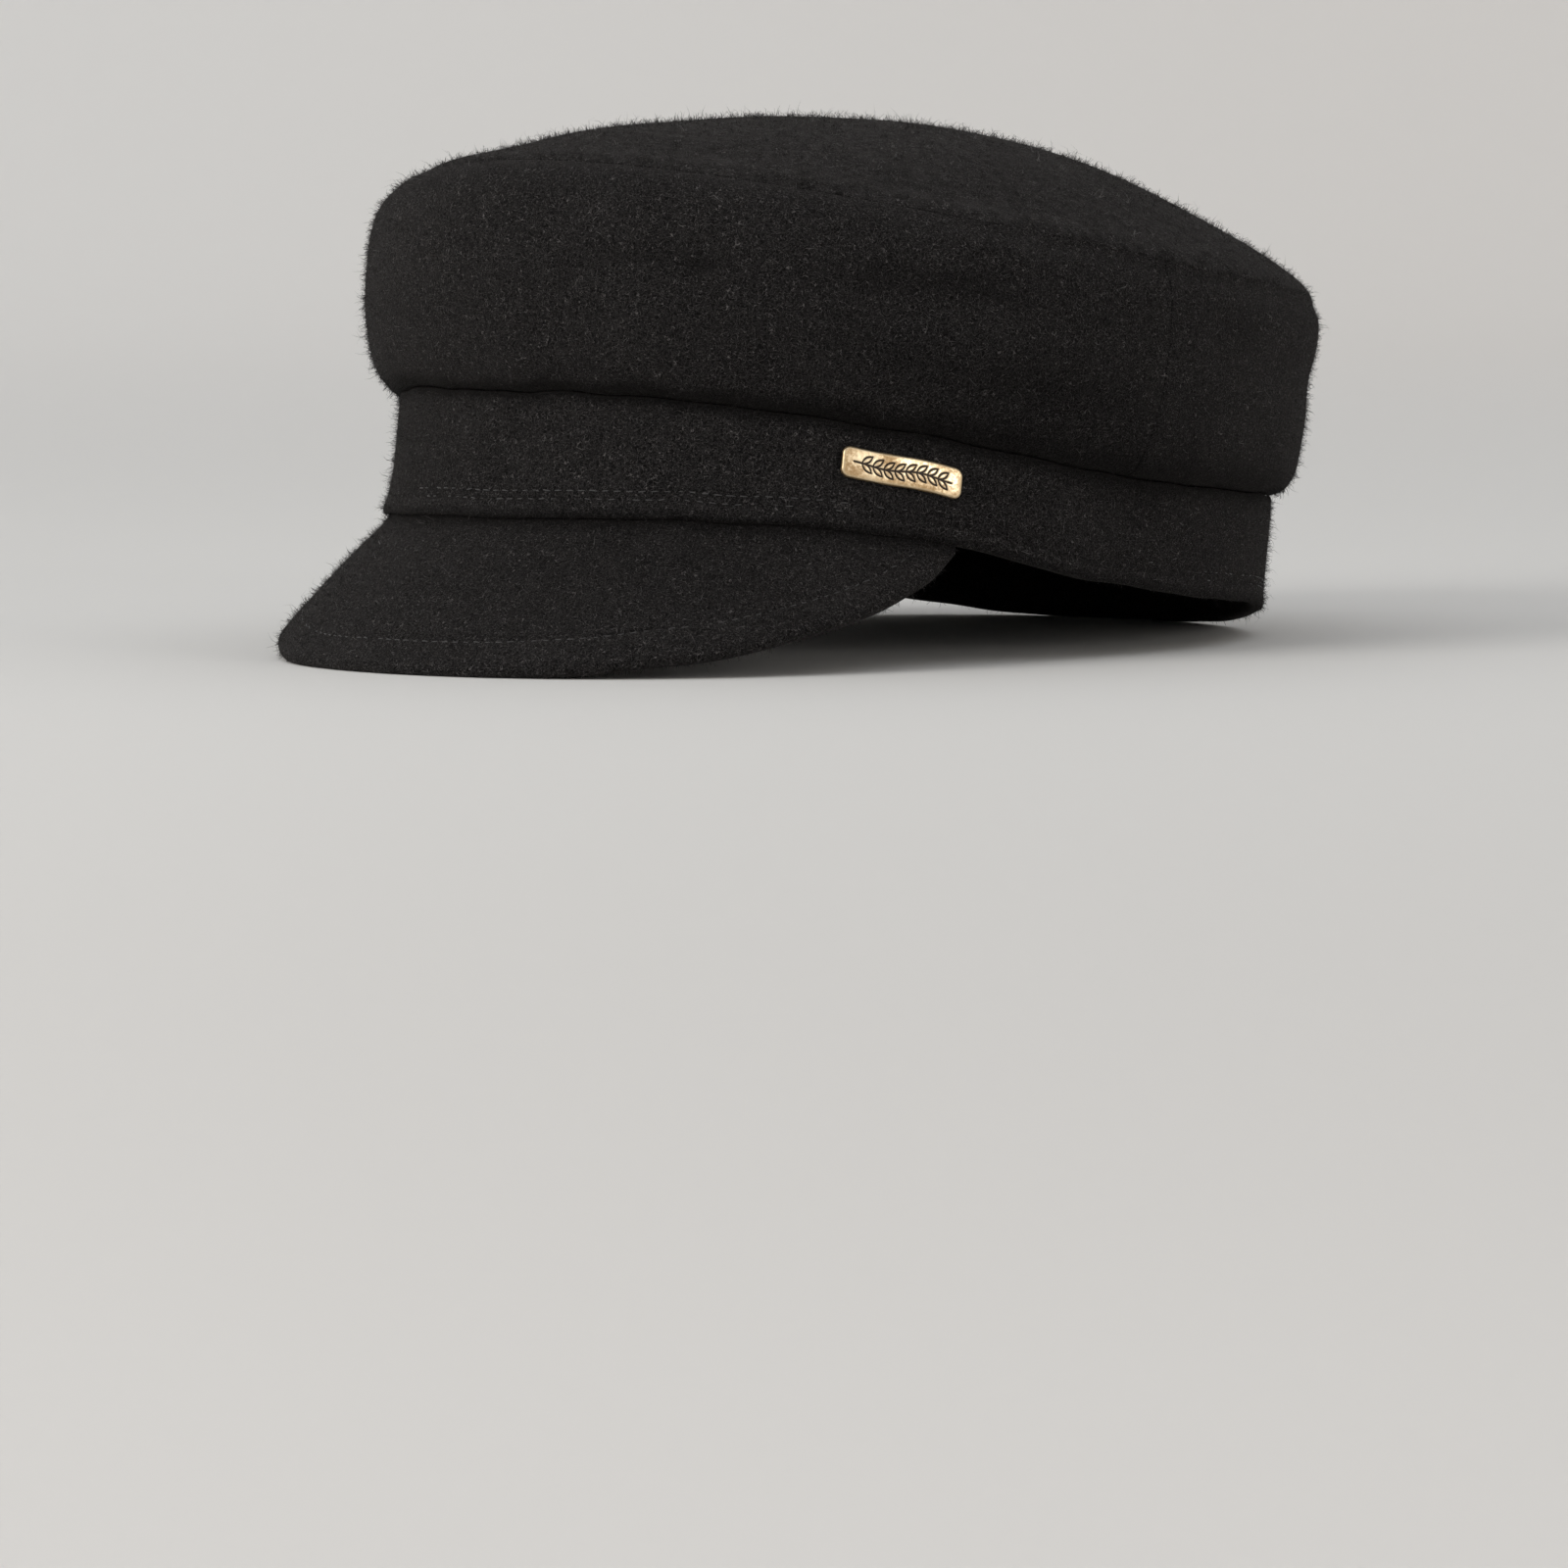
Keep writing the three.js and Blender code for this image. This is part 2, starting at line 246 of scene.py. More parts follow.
def smooth_through(knots):
    knots = [knots[0], *knots, knots[-1]]
    line = []
    for a, b, c, d in zip(knots, knots[1:], knots[2:], knots[3:]):
        for t in np.linspace(0, 1, 24, endpoint=False):
            pull_b, pull_c = (c - a) / 2, (d - b) / 2
            line.append(
                (2 * b - 2 * c + pull_b + pull_c) * t**3
                + (3 * c - 3 * b - 2 * pull_b - pull_c) * t**2
                + pull_b * t
                + b
            )
    return np.stack([*line, knots[-1]], 1)


def wall_profile(turn):
    foot = joint_height(turn)
    height = around(TIP_SEAM_HEIGHT, turn) - foot
    to_front = (1 + np.cos(turn)) / 2
    knots = []
    for share, front, back in WALL_ROWS:
        bulge = back + (front - back) * to_front - dent_and_shade_patches(WALL_DENTS, turn, share)
        knots.append(np.stack([bulge, foot + share * height], -1))
    knots.append(np.stack([around(TIP_SEAM_OUT, turn), foot + height], -1))
    return smooth_through(knots)


def run_length(line):
    steps = np.linalg.norm(np.diff(line, axis=0), axis=-1)
    return np.concatenate([[0], np.cumsum(steps)])


def spread_rows(profiles, first, last, between):
    spread = []
    for line in profiles:
        along = run_length(line)
        middle = np.linspace(first[-1], along[-1] - last[-1], between + 2)[1:-1]
        stops = np.concatenate([first, middle, along[-1] - np.array(last[::-1])])
        spread.append(np.stack([np.interp(stops, along, line[:, k]) for k in (0, 1)], -1))
    return np.array(spread)


def rounded_edge(distance, radius):
    inside = np.clip(1 - distance / radius, 0, 1)
    return radius * (1 - np.sqrt(1 - inside**2))


def rolled_seam(distance, turn):
    turned_in = SEAM_ROLL * np.clip(1 - distance / SEAM_ROLL_WIDE, 0, 1) ** 2
    return (SEAM_OUT * outward(turn) + np.array([0, 0, SEAM_UP])) * turned_in[..., None]


def ease(distance, start, end):
    share = np.clip((distance - start) / (end - start), 0, 1)
    return share * share * (3 - 2 * share)


def swell(face, amount, ring=False):
    if ring:
        along = np.roll(face, -1, 0) - np.roll(face, 1, 0)
    else:
        along = np.gradient(face, axis=0)
    normal = np.cross(along, np.gradient(face, axis=1))
    normal /= np.maximum(np.linalg.norm(normal, axis=-1, keepdims=True), 1e-12)
    return face + normal * amount[..., None]


def grid_faces(count, size, ring, closed):
    corner = np.arange(count * size).reshape(count, size)
    here = corner if ring else corner[:-1]
    after = np.roll(corner, -1, 0) if ring else corner[1:]
    if closed:
        sides = (here, after, np.roll(after, -1, 1), np.roll(here, -1, 1))
    else:
        sides = (here[:, :-1], after[:, :-1], after[:, 1:], here[:, 1:])
    return np.stack(sides, -1).reshape(-1, 4)


def new_piece(name, points, faces, material, layers=None):
    mesh = bpy.data.meshes.new(name)
    mesh.vertices.add(len(points))
    mesh.vertices.foreach_set("co", points.astype(np.float32).ravel())
    mesh.loops.add(faces.size)
    mesh.loops.foreach_set("vertex_index", faces.astype(np.int32).ravel())
    mesh.polygons.add(len(faces))
    mesh.polygons.foreach_set(
        "loop_start", np.arange(0, faces.size, faces.shape[1], dtype=np.int32)
    )
    mesh.update(calc_edges=True)
    mesh.shade_smooth()
    mesh.materials.append(material)
    for layer, values in (layers or {}).items():
        made = mesh.attributes.new(layer, "FLOAT", "POINT")
        made.data.foreach_set("value", values.astype(np.float32).ravel())
    piece = bpy.data.objects.new(name, mesh)
    bpy.context.scene.collection.objects.link(piece)
    return piece


def close_up(piece, fill_ends=False):
    shape = bmesh.new()
    shape.from_mesh(piece.data)
    if fill_ends:
        bmesh.ops.holes_fill(shape, edges=[e for e in shape.edges if e.is_boundary], sides=0)
    bmesh.ops.remove_doubles(shape, verts=shape.verts, dist=1e-7)
    bmesh.ops.dissolve_degenerate(shape, edges=shape.edges, dist=1e-8)
    bmesh.ops.recalc_face_normals(shape, faces=shape.faces)
    if shape.calc_volume(signed=True) < 0:
        bmesh.ops.reverse_faces(shape, faces=shape.faces)
    shape.to_mesh(piece.data)
    shape.free()
    piece.data.shade_smooth()


class Wire:
    def __init__(self, tree, socket=None):
        self.tree, self.socket = tree, socket

    def node(self, kind, settings, sockets, out=0):
        made = self.tree.nodes.new(kind)
        for name, value in settings.items():
            setattr(made, name, value)
        for name, value in sockets.items():
            if isinstance(value, Wire):
                self.tree.links.new(value.socket, made.inputs[name])
            else:
                made.inputs[name].default_value = value
        return Wire(self.tree, made.outputs[out])

    def sum(self, operation, *values):
        return self.node(
            "ShaderNodeMath", {"operation": operation}, dict(enumerate(values))
        )

    def __add__(self, other):
        return self.sum("ADD", self, other)

    def __sub__(self, other):
        return self.sum("SUBTRACT", self, other)

    def __rsub__(self, other):
        return self.sum("SUBTRACT", other, self)

    def __mul__(self, other):
        return self.sum("MULTIPLY", self, other)

    def __abs__(self):
        return self.sum("ABSOLUTE", self)

    def between(self, low, high, start=0.0, end=1.0):
        return self.node(
            "ShaderNodeMapRange",
            {"interpolation_type": "SMOOTHSTEP"},
            {"Value": self, "From Min": low, "From Max": high, "To Min": start, "To Max": end},
        )

    def noise(self, scale, detail=2.0, rough=0.5):
        sockets = {"Vector": self, "Scale": scale, "Detail": detail, "Roughness": rough}
        return self.node("ShaderNodeTexNoise", {}, sockets)

    def layer(self, name):
        return self.node("ShaderNodeAttribute", {"attribute_name": name}, {}, "Fac")

    def along(self, way):
        return self.node(
            "ShaderNodeVectorMath", {"operation": "DOT_PRODUCT"}, {0: self, 1: way}, "Value"
        )

    def tint(self, first, second):
        return self.node("ShaderNodeMix", {"data_type": "RGBA"}, {0: self, 6: first, 7: second}, 2)


def finish(name):
    material = bpy.data.materials.new(name)
    material.use_nodes = True
    tree = material.node_tree
    shader = tree.nodes["Principled BSDF"].inputs
    start = Wire(tree)
    place = start.node("ShaderNodeTexCoord", {}, {}, "Object")
    return material, shader, place


def wire_to(shader, name, wire):
    wire.tree.links.new(wire.socket, shader[name])


def wool_melton(name, dark, light, fibre, mottle=0.0):
    material, shader, place = finish(name)
    twisted = {"Vector": place, "Scale": 600.0, "Detail": 1.0}
    twist = place.node("ShaderNodeTexNoise", {}, twisted, "Color")
    bent = place.node(
        "ShaderNodeVectorMath", {"operation": "MULTIPLY_ADD"}, {0: twist, 1: (0.0011,) * 3, 2: place}
    )
    felt = bent.noise(2600.0, 2.0, 0.6)
    clump = place.noise(1100.0, 2.0, 0.55)
    cloud = place.noise(70.0, 3.0, 0.55)
    curl = 1 - abs(bent.noise(1100.0, 1.0, 0.4) - 0.5).between(0.0, 0.026)
    curl_two = 1 - abs(bent.noise(1700.0, 1.0, 0.4) - 0.48).between(0.0, 0.03)
    loose = place.noise(700.0, 1.0, 0.5).between(0.44, 0.6)
    fibres = curl * loose + curl_two * (1 - loose) * 0.7
    tone = place.layer("tone")
    patches = place.noise(420.0, 3.0, 0.6)
    grain = felt * (0.78 - mottle) + patches * mottle
    shade = (grain + clump * 0.14 + cloud * 0.08).between(0.4, 0.64)
    cloth = (shade + tone).tint((*dark, 1), (*light, 1))
    coloured = (fibres * 0.85 + tone.between(0.8, 1.0) * 0.9).tint(cloth, (*fibre, 1))
    # Painted shade: a per-point layer darkens the wool towards near-black in seams, folds, dimples and
    # under the roll.
    shadow = (place.layer("painted_shade") * 0.85).tint(coloured, (*PAINTED_SHADE_BLACK, 1))
    wire_to(shader, "Base Color", shadow)
    wire_to(shader, "Roughness", shade.between(0.0, 1.0, 0.98, 0.86))
    height = felt * 0.6 + clump * 0.35 + fibres * 0.35
    bump = place.node(
        "ShaderNodeBump", {}, {"Height": height, "Strength": 0.9, "Distance": 0.0006}
    )
    wire_to(shader, "Normal", bump)
    shader["Specular IOR Level"].default_value = 0.08
    shader["Sheen Weight"].default_value = 0.035
    shader["Sheen Roughness"].default_value = 0.5
    shader["Sheen Tint"].default_value = (0.68, 0.6, 0.56, 1)
    return material


# Near-black colour of the painted shade.
PAINTED_SHADE_BLACK = (0.0008, 0.0007, 0.0007)
WOOL_SHADES = (
    # dark, light, loose fibre
    (0.0012, 0.0011, 0.0011),
    (0.0192, 0.0178, 0.0176),
    (0.15, 0.14, 0.138),
)
TIP_MOTTLE = 0.45
wool = wool_melton("wool_melton", *WOOL_SHADES)
tip_wool = wool_melton("wool_melton_tip", *WOOL_SHADES, TIP_MOTTLE)
SIDE_STEPS = np.array([0, 0.05, 0.12, 0.2, 0.3, 0.45, 0.7, 1, 1.4, 1.9, 2.6, 3.6, 5])
FOOT_STEPS = (0, 0.3, 0.7, 1.2, 1.8, 2.6)
TOP_STEPS = (0, 0.08, 0.2, 0.36, 0.56, 0.8, 1.1, 1.6, 2.4)
PANEL_COLUMNS, PANEL_ROWS, LINING_ROWS = 230, 42, 13
SIDE_GAP = 0.05
ARC_AT_SIDE = HALF_LENGTH
# Painted shade on the wall: under the roll, along the seam to the tip and along the side seams.
TUCK_WIDE, TUCK_FADE, TUCK_EARLY, TUCK_PAINTED_SHADE = (3.2, 4.6, 4.2), (1.2, 6, 3.5), 1.6, 0.85
TUCK_RIPPLES = (
    # size, height, seed
    (8, 0.5, 5),
)
CALM_AT_FOOT, CALM_AT_TOP = (1, 9), (0.5, 8)
SEAM_PAINTED_SHADE, SEAM_PAINTED_SHADE_WIDE = 0.02, 1.2
SIDE_PAINTED_SHADE, SIDE_PAINTED_SHADE_WIDE = 0.12, 0.5
TURNED_IN = 3


def panel_turns(first, last, count):
    near = (SIDE_GAP / 2 + SIDE_STEPS) / ARC_AT_SIDE
    middle = np.linspace(first + near[-1], last - near[-1], count + 2)[1:-1]
    return np.concatenate([first + near, middle, last - near[::-1]])


def wall_panel(name, first, last):
    turns = panel_turns(first, last, PANEL_COLUMNS)
    profiles = wall_profile(turns)
    outer = spread_rows(profiles, FOOT_STEPS, TOP_STEPS, PANEL_ROWS)
    inner = spread_rows(profiles, (3, 4), (5, 7), LINING_ROWS)[:, ::-1]
    lean = np.gradient(inner, axis=1)
    lean /= np.linalg.norm(lean, axis=-1, keepdims=True)
    inner = inner + WALL_THICK * np.stack([lean[..., 1], -lean[..., 0]], -1)
    up = np.array([run_length(line) for line in outer])
    to_top = up[:, -1:] - up
    wide_turns = np.broadcast_to(turns[:, None], up.shape)
    face = on_oval(wide_turns, outer[..., 0], outer[..., 1]) - rolled_seam(to_top, wide_turns)
    from_side = np.minimum(turns - first, last - turns) * ARC_AT_SIDE - SIDE_GAP / 2
    from_side = np.broadcast_to(from_side[:, None], up.shape)
    calm = ease(up, *CALM_AT_FOOT) * ease(to_top, *CALM_AT_TOP)
    relief = calm * ripples(WALL_RIPPLES, face)
    dip = SIDE_DIP * np.exp(-from_side / SIDE_DIP_WIDE)
    relief = relief - dip * ease(to_top, 0, 4) * ease(up, 0, 4)
    relief = relief - rounded_edge(from_side, SIDE_EDGE) - rounded_edge(to_top, SEAM_EDGE)
    face = swell(face, relief)
    # Painted shade under the roll, fading up the wall, then along the seams and in the soft folds.
    tuck = around(TUCK_WIDE, wide_turns) + ripples(TUCK_RIPPLES, face)
    faded = tuck + around(TUCK_FADE, wide_turns)
    painted_shade = TUCK_PAINTED_SHADE * (1 - ease(up, tuck - TUCK_EARLY, faded))
    painted_shade = painted_shade + SEAM_PAINTED_SHADE * np.exp(-to_top / SEAM_PAINTED_SHADE_WIDE)
    painted_shade = painted_shade + SIDE_PAINTED_SHADE * np.exp(-from_side / SIDE_PAINTED_SHADE_WIDE)
    share = (outer[..., 1] - outer[:, :1, 1]) / (outer[:, -1:, 1] - outer[:, :1, 1])
    painted_shade = 1 - (1 - painted_shade) * (1 - dent_and_shade_patches(WALL_PAINTED_SHADOWS, wide_turns, share))
    seam = outer[:, -1] + (SEAM_ROLL + WALL_THICK) * np.array([-SEAM_OUT, -SEAM_UP])
    foot = joint_height(turns)
    lining = np.stack([seam, *inner.transpose(1, 0, 2)], 1)
    base = np.stack([np.full_like(foot, -TURNED_IN), foot + WALL_THICK], -1)
    under = np.stack([np.full_like(foot, -TURNED_IN), foot], -1)
    lining = np.concatenate([lining, base[:, None], under[:, None]], 1)
    hidden = on_oval(turns[:, None], lining[..., 0], lining[..., 1])
    loops = set_down(np.concatenate([face, hidden], 1))
    count, size = loops.shape[:2]
    shadow = np.pad(painted_shade, ((0, 0), (0, size - painted_shade.shape[1])))
    sides = grid_faces(count, size, False, True)
    piece = new_piece(name, loops.reshape(-1, 3), sides, wool, {"painted_shade": shadow})
    close_up(piece, fill_ends=True)
    return piece, (loops[:, : face.shape[1]], painted_shade)


crown_front, front_outside = wall_panel("crown_front_cloth", -SIDE_SEAM_TURN, SIDE_SEAM_TURN)
crown_back, back_outside = wall_panel(
    "crown_back_cloth", SIDE_SEAM_TURN, 2 * math.pi - SIDE_SEAM_TURN
)
for piece, node in ((crown_front, "crown_front"), (crown_back, "crown_back")):
    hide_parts(node)
    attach(piece, "root")


# The crown's tip is one oval of the same wool, cut generously and sewn to the wall with the
# seam allowance lying under it. It stands as a low dome, with a soft welt along its seam.
TIP_THICK = 2.4
APEX_BACK, APEX_RISE = 19, 26.7
TIP_HOLLOWS = (
    # turn, share of the way to the seam, spread round, spread outward, depth
    (26, 0.88, 16, 0.05, 0.9),
    (61, 0.9, 9, 0.05, 0.7),
    (-34, 0.86, 14, 0.06, 0.8),
    (150, 0.7, 25, 0.12, 0.7),
)
TIP_RIPPLES = (
    # size, height, seed
    (38, 0.35, 11),
    (15, 0.14, 12),
)
TIP_GAP = 0.05
WELT_AT, WELT_WIDE, WELT_HIGH = 3.8, 3.0, 0.16
RIM_STEPS = np.array([0, 0.1, 0.22, 0.38, 0.58, 0.82, 1.1, 1.5, 2, 2.7, 3.5, 4.5, 5.7, 7, 8.5, 10.5])
APEX_TO_RIM = 95
TIP_ROWS, UNDER_ROWS, RING_COLUMNS = 36, 16, 480
full_turns = np.linspace(0, 2 * math.pi, RING_COLUMNS, endpoint=False)


def tip_face(inset, apex_drop, shares):
    turns = full_turns[:, None]
    out = around(TIP_SEAM_OUT, turns) - SEAM_UP * TIP_GAP - SEAM_OUT * inset
    up = around(TIP_SEAM_HEIGHT, turns) + SEAM_OUT * TIP_GAP - SEAM_UP * inset
    front, side, back = TIP_SEAM_HEIGHT
    apex = (front + 2 * side + back) / 4 + APEX_RISE - apex_drop
    rim = on_oval(turns, out, up)
    across = rim[..., 0] * shares
    along = APEX_BACK + (rim[..., 1] - APEX_BACK) * shares
    height = apex + (rim[..., 2] - apex) * shares**2 - dent_and_shade_patches(TIP_HOLLOWS, turns, shares)
    return np.stack([across, along, height], -1)


rim_shares = 1 - RIM_STEPS[::-1] / APEX_TO_RIM
tip_shares = np.concatenate([np.linspace(0, rim_shares[0], TIP_ROWS)[:-1], rim_shares])
tip_top = tip_face(0, 0, tip_shares)
from_rim = np.linalg.norm(tip_top[:, -1:] - tip_top, axis=-1)
wide_turns = np.broadcast_to(full_turns[:, None], from_rim.shape)
tip_top = tip_top - rolled_seam(from_rim, wide_turns)
tip_relief = ease(from_rim, 0.5, 12) * ripples(TIP_RIPPLES, tip_top)
tip_relief = tip_relief + WELT_HIGH * hump(from_rim - WELT_AT, WELT_WIDE)
tip_relief = tip_relief - rounded_edge(from_rim, SEAM_EDGE)
tip_relief[:, 0] = 0
tip_top = swell(tip_top, -tip_relief, ring=True)
tip_under = tip_face(SEAM_ROLL + TIP_THICK, TIP_THICK, np.linspace(0, 1, UNDER_ROWS))
# Painted shade along the tip's seam.
tip_painted_shade = SEAM_PAINTED_SHADE * np.exp(-from_rim / SEAM_PAINTED_SHADE_WIDE)[:, ::-1]
tip_painted_shade = np.concatenate([np.zeros(tip_under.shape[:2]), tip_painted_shade], 1)
tip_loops = set_down(np.concatenate([tip_under, tip_top[:, ::-1]], 1))
crown_tip = new_piece(
    "crown_tip_cloth",
    tip_loops.reshape(-1, 3),
    grid_faces(*tip_loops.shape[:2], True, False),
    tip_wool,
    {"painted_shade": tip_painted_shade},
)
close_up(crown_tip)
tip_outside = (tip_loops[:, tip_under.shape[1] :], tip_painted_shade[:, tip_under.shape[1] :])
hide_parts("crown_tip")
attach(crown_tip, "root")


# The band is a strip of the wool folded up at the hem, stiff enough to stand upright. Two rows
# of stitching run round it just above the fold and hold the hem.
BAND_WALL, HEM_BEND, TOP_BEND = 3, 1.1, 0.9
BAND_STITCH_ROWS = (3.85, 5.6)
STITCH_PITCH = 2.6
STITCH_SINK, STITCH_SINK_WIDE = 0.24, 0.55
HEM_PUFF_AT, HEM_PUFF, HEM_PUFF_WIDE = 2, 0.1, 1.2
FLARE_FADE = (
    # height, share of the flare
    (0, 1),
    (0.8, 1),
    (4.5, 0.5),
    (10, 0),
)
HEM_ROWS = (
    *(1.1, 1.5, 2, 2.5, 3, 3.3),
    *np.arange(3.5, 7, 0.22),
    *(7.2, 7.6, 8.2, 9),
)
UPPER_ROWS, INSIDE_ROWS = 18, 8
BAND_RIPPLES = (
    # size, height, seed
    (34, 0.22, 21),
    (13, 0.12, 22),
)
BAND_DENTS = (
    # turn, height, spread round, spread up, depth
    (91, 15, 9, 5, 0.9),
)
# Painted shade on the band: under the roll, along the stitch rows, at the hem fold, in broad patches
# on the left and at the side, and over the hidden inside.
UNDER_ROLL_SHADE_WIDE, HIDDEN_PAINTED_SHADE = (1.9, 3.0, 2.5), 0.9
STITCH_PAINTED_SHADE, STITCH_PAINTED_SHADE_WIDE = 0.3, 0.5
HEM_FOLD_PAINTED_SHADE, HEM_FOLD_PAINTED_SHADE_WIDE = 0.6, 0.6
BAND_PAINTED_SHADOWS = (
    # turn, height, spread round, spread up, darkness
    (-34, 14, 28, 13, 0.33),
    (92, 18, 8, 5, 0.32),
)


def band_height(turn):
    return joint_height(turn) - SEWN_GAP - hem_height(turn)


def flare_at(turn, up):
    return around(HEM_FLARE, turn) * np.interp(up, *zip(*FLARE_FADE))


def arc_round(turn):
    fine = np.linspace(-math.pi, 2 * math.pi, 2400)
    length = run_length(on_oval(fine, 0, 0))
    return np.interp(turn, fine, length - np.interp(0, fine, length))


def stitch_pull(along):
    return 0.75 + 0.25 * np.cos(2 * math.pi * along / STITCH_PITCH)


def band_relief(points, turn, up):
    height = band_height(turn)
    calm = ease(up, 0, 3) * ease(height - up, 0.5, 6)
    relief = calm * ripples(BAND_RIPPLES, points) - dent_and_shade_patches(BAND_DENTS, turn, up)
    pull = stitch_pull(arc_round(turn))
    for row in BAND_STITCH_ROWS:
        relief = relief - STITCH_SINK * pull * hump(up - row, STITCH_SINK_WIDE)
    return relief + HEM_PUFF * hump(up - HEM_PUFF_AT, HEM_PUFF_WIDE)


def band_face(turn, up):
    points = on_oval(turn, flare_at(turn, up), hem_height(turn) + up)
    relief = band_relief(points, turn, up)[..., None]
    return points + outward(np.broadcast_to(turn, up.shape)) * relief


def quarter_bend(degrees, radius):
    angles = np.radians(np.array(degrees))
    return radius * np.cos(angles), radius * np.sin(angles)


band_turns = full_turns[:, None]
tall = band_height(band_turns)
lower = np.broadcast_to(HEM_ROWS, (len(full_turns), len(HEM_ROWS)))
upper_shares = np.linspace(0, 1, UPPER_ROWS + 1)[None, 1:]
upper = HEM_ROWS[-1] + (tall - HEM_ROWS[-1] - TOP_BEND) * upper_shares
rows = np.concatenate([lower, upper], 1)
face = band_face(band_turns, rows)
hem_line = hem_height(band_turns)
edge_across, edge_up = quarter_bend([-90, -72, -54, -36, -18, 0], HEM_BEND)
hem_out = around(HEM_FLARE, band_turns) + band_relief(face[:, :1], band_turns, rows[:, :1])
top_across, top_up = quarter_bend([0, 22, 45, 68, 90], TOP_BEND)
fold_across, fold_up = quarter_bend([210, 240, 270], HEM_BEND)
inside_up = hem_line + HEM_BEND + (tall - HEM_BEND - TOP_BEND) * np.linspace(1, 0, INSIDE_ROWS)
band_loops = np.concatenate(
    [
        on_oval(band_turns, hem_out - HEM_BEND + edge_across, hem_line + HEM_BEND + edge_up),
        face,
        on_oval(band_turns, -TOP_BEND + top_across, hem_line + tall - TOP_BEND + top_up),
        on_oval(band_turns, -BAND_WALL, inside_up),
        on_oval(band_turns, -BAND_WALL + HEM_BEND + fold_across, hem_line + HEM_BEND + fold_up),
    ],
    1,
)
# Painted shade on the band's face, then on its hem edge and hidden inside.
under_roll = around(UNDER_ROLL_SHADE_WIDE, band_turns)
band_face_painted_shade = HIDDEN_PAINTED_SHADE * hump(tall - rows, under_roll) + sum(
    STITCH_PAINTED_SHADE * hump(rows - row, STITCH_PAINTED_SHADE_WIDE) for row in BAND_STITCH_ROWS
)
band_face_painted_shade = band_face_painted_shade + dent_and_shade_patches(BAND_PAINTED_SHADOWS, band_turns, rows)
band_face_painted_shade = band_face_painted_shade + HEM_FOLD_PAINTED_SHADE * hump(rows - HEM_BEND, HEM_FOLD_PAINTED_SHADE_WIDE)
band_shown = len(edge_up) + face.shape[1]
band_painted_shade = np.full(band_loops.shape[:2], HIDDEN_PAINTED_SHADE)
band_painted_shade[:, : len(edge_up)] = HEM_FOLD_PAINTED_SHADE * (edge_across / HEM_BEND) ** 0.5
band_painted_shade[:, len(edge_up) : band_shown] = band_face_painted_shade
band_loops = set_down(band_loops, ground=0.05)
band = new_piece(
    "band_cloth",
    band_loops.reshape(-1, 3),
    grid_faces(*band_loops.shape[:2], True, True),
    wool,
    {"painted_shade": band_painted_shade},
)
close_up(band)
band_outside = (band_loops[:, :band_shown], band_painted_shade[:, :band_shown])
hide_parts("band")
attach(band, "root")


# The peak is a stiff board covered in the wool on both sides. The cloth is drawn round its edge
# and held by one row of stitching, and its root is sewn under the front of the hem.
PEAK_END = math.radians(64)
PEAK_END_REACH, PEAK_FULLNESS = 1.2, 2.75
PEAK_STITCH_IN, PEAK_SINK_WIDE = 6.6, 0.6
PEAK_LAP = 0.15
PEAK_CORNER_THIN, PEAK_CORNER_FADE = 0.15, 0.07
PEAK_COLUMNS, PEAK_ROWS, PEAK_UNDER_ROWS = 321, 22, 14
PEAK_RIPPLES = (
    # size, height, seed
    (30, 0.28, 31),
    (12, 0.12, 32),
)
EDGE_PUFF_IN, EDGE_PUFF, EDGE_PUFF_WIDE = 2.8, 0.16, 2.2
# Painted shade on the peak: dark at its root under the hem, and a broad patch across its middle.
PEAK_ROOT_PAINTED_SHADE, PEAK_ROOT_PAINTED_SHADE_WIDE = 0.75, 3.2
PEAK_PAINTED_SHADOWS = (
    # turn, distance from the hem, spread round, spread outward, darkness
    (22, 14, 26, 16, 0.2),
)


def peak_reach(turn):
    share = np.clip(np.abs(turn) / PEAK_END, 0, 1)
    return PEAK_REACH + (PEAK_END_REACH - PEAK_REACH) * share**PEAK_FULLNESS


def peak_thinning(turn):
    full = ease(PEAK_END - np.abs(turn), 0, PEAK_CORNER_FADE)
    return PEAK_CORNER_THIN + (1 - PEAK_CORNER_THIN) * full


def peak_point(turn, distance, depth):
    depth = depth * peak_thinning(turn)
    out = -PEAK_INSET + distance * math.cos(PEAK_SLOPE) - depth * math.sin(PEAK_SLOPE)
    up = hem_height(turn) - distance * math.sin(PEAK_SLOPE) - depth * math.cos(PEAK_SLOPE)
    return on_oval(turn, out, up + PEAK_LAP - (SEWN_GAP + PEAK_LAP) * ease(distance, 0, 3))


def peak_normal(turn):
    return outward(turn) * math.sin(PEAK_SLOPE) + np.array([0, 0, math.cos(PEAK_SLOPE)])


def peak_edge_line(inset):
    turns = np.linspace(-PEAK_END, PEAK_END, 1200)
    return turns, run_length(peak_point(turns, np.maximum(peak_reach(turns) - inset, 0), 0))


stitch_turns, stitch_length = peak_edge_line(PEAK_STITCH_IN)


def peak_relief(points, turn, distance):
    reach = peak_reach(turn)
    calm = ease(distance, 2, 10) * ease(reach - distance, 0, 6)
    pull = stitch_pull(np.interp(turn, stitch_turns, stitch_length))
    row = hump(reach - PEAK_STITCH_IN - distance, PEAK_SINK_WIDE)
    puff = hump(reach - EDGE_PUFF_IN - distance, EDGE_PUFF_WIDE)
    sewn = ease(reach, 6, 16) * (EDGE_PUFF * puff - STITCH_SINK * pull * row)
    return calm * ripples(PEAK_RIPPLES, points) + sewn


def peak_face(turn, distance):
    points = peak_point(turn, distance, 0)
    normal = peak_normal(np.broadcast_to(turn, distance.shape))
    return points + normal * peak_relief(points, turn, distance)[..., None]


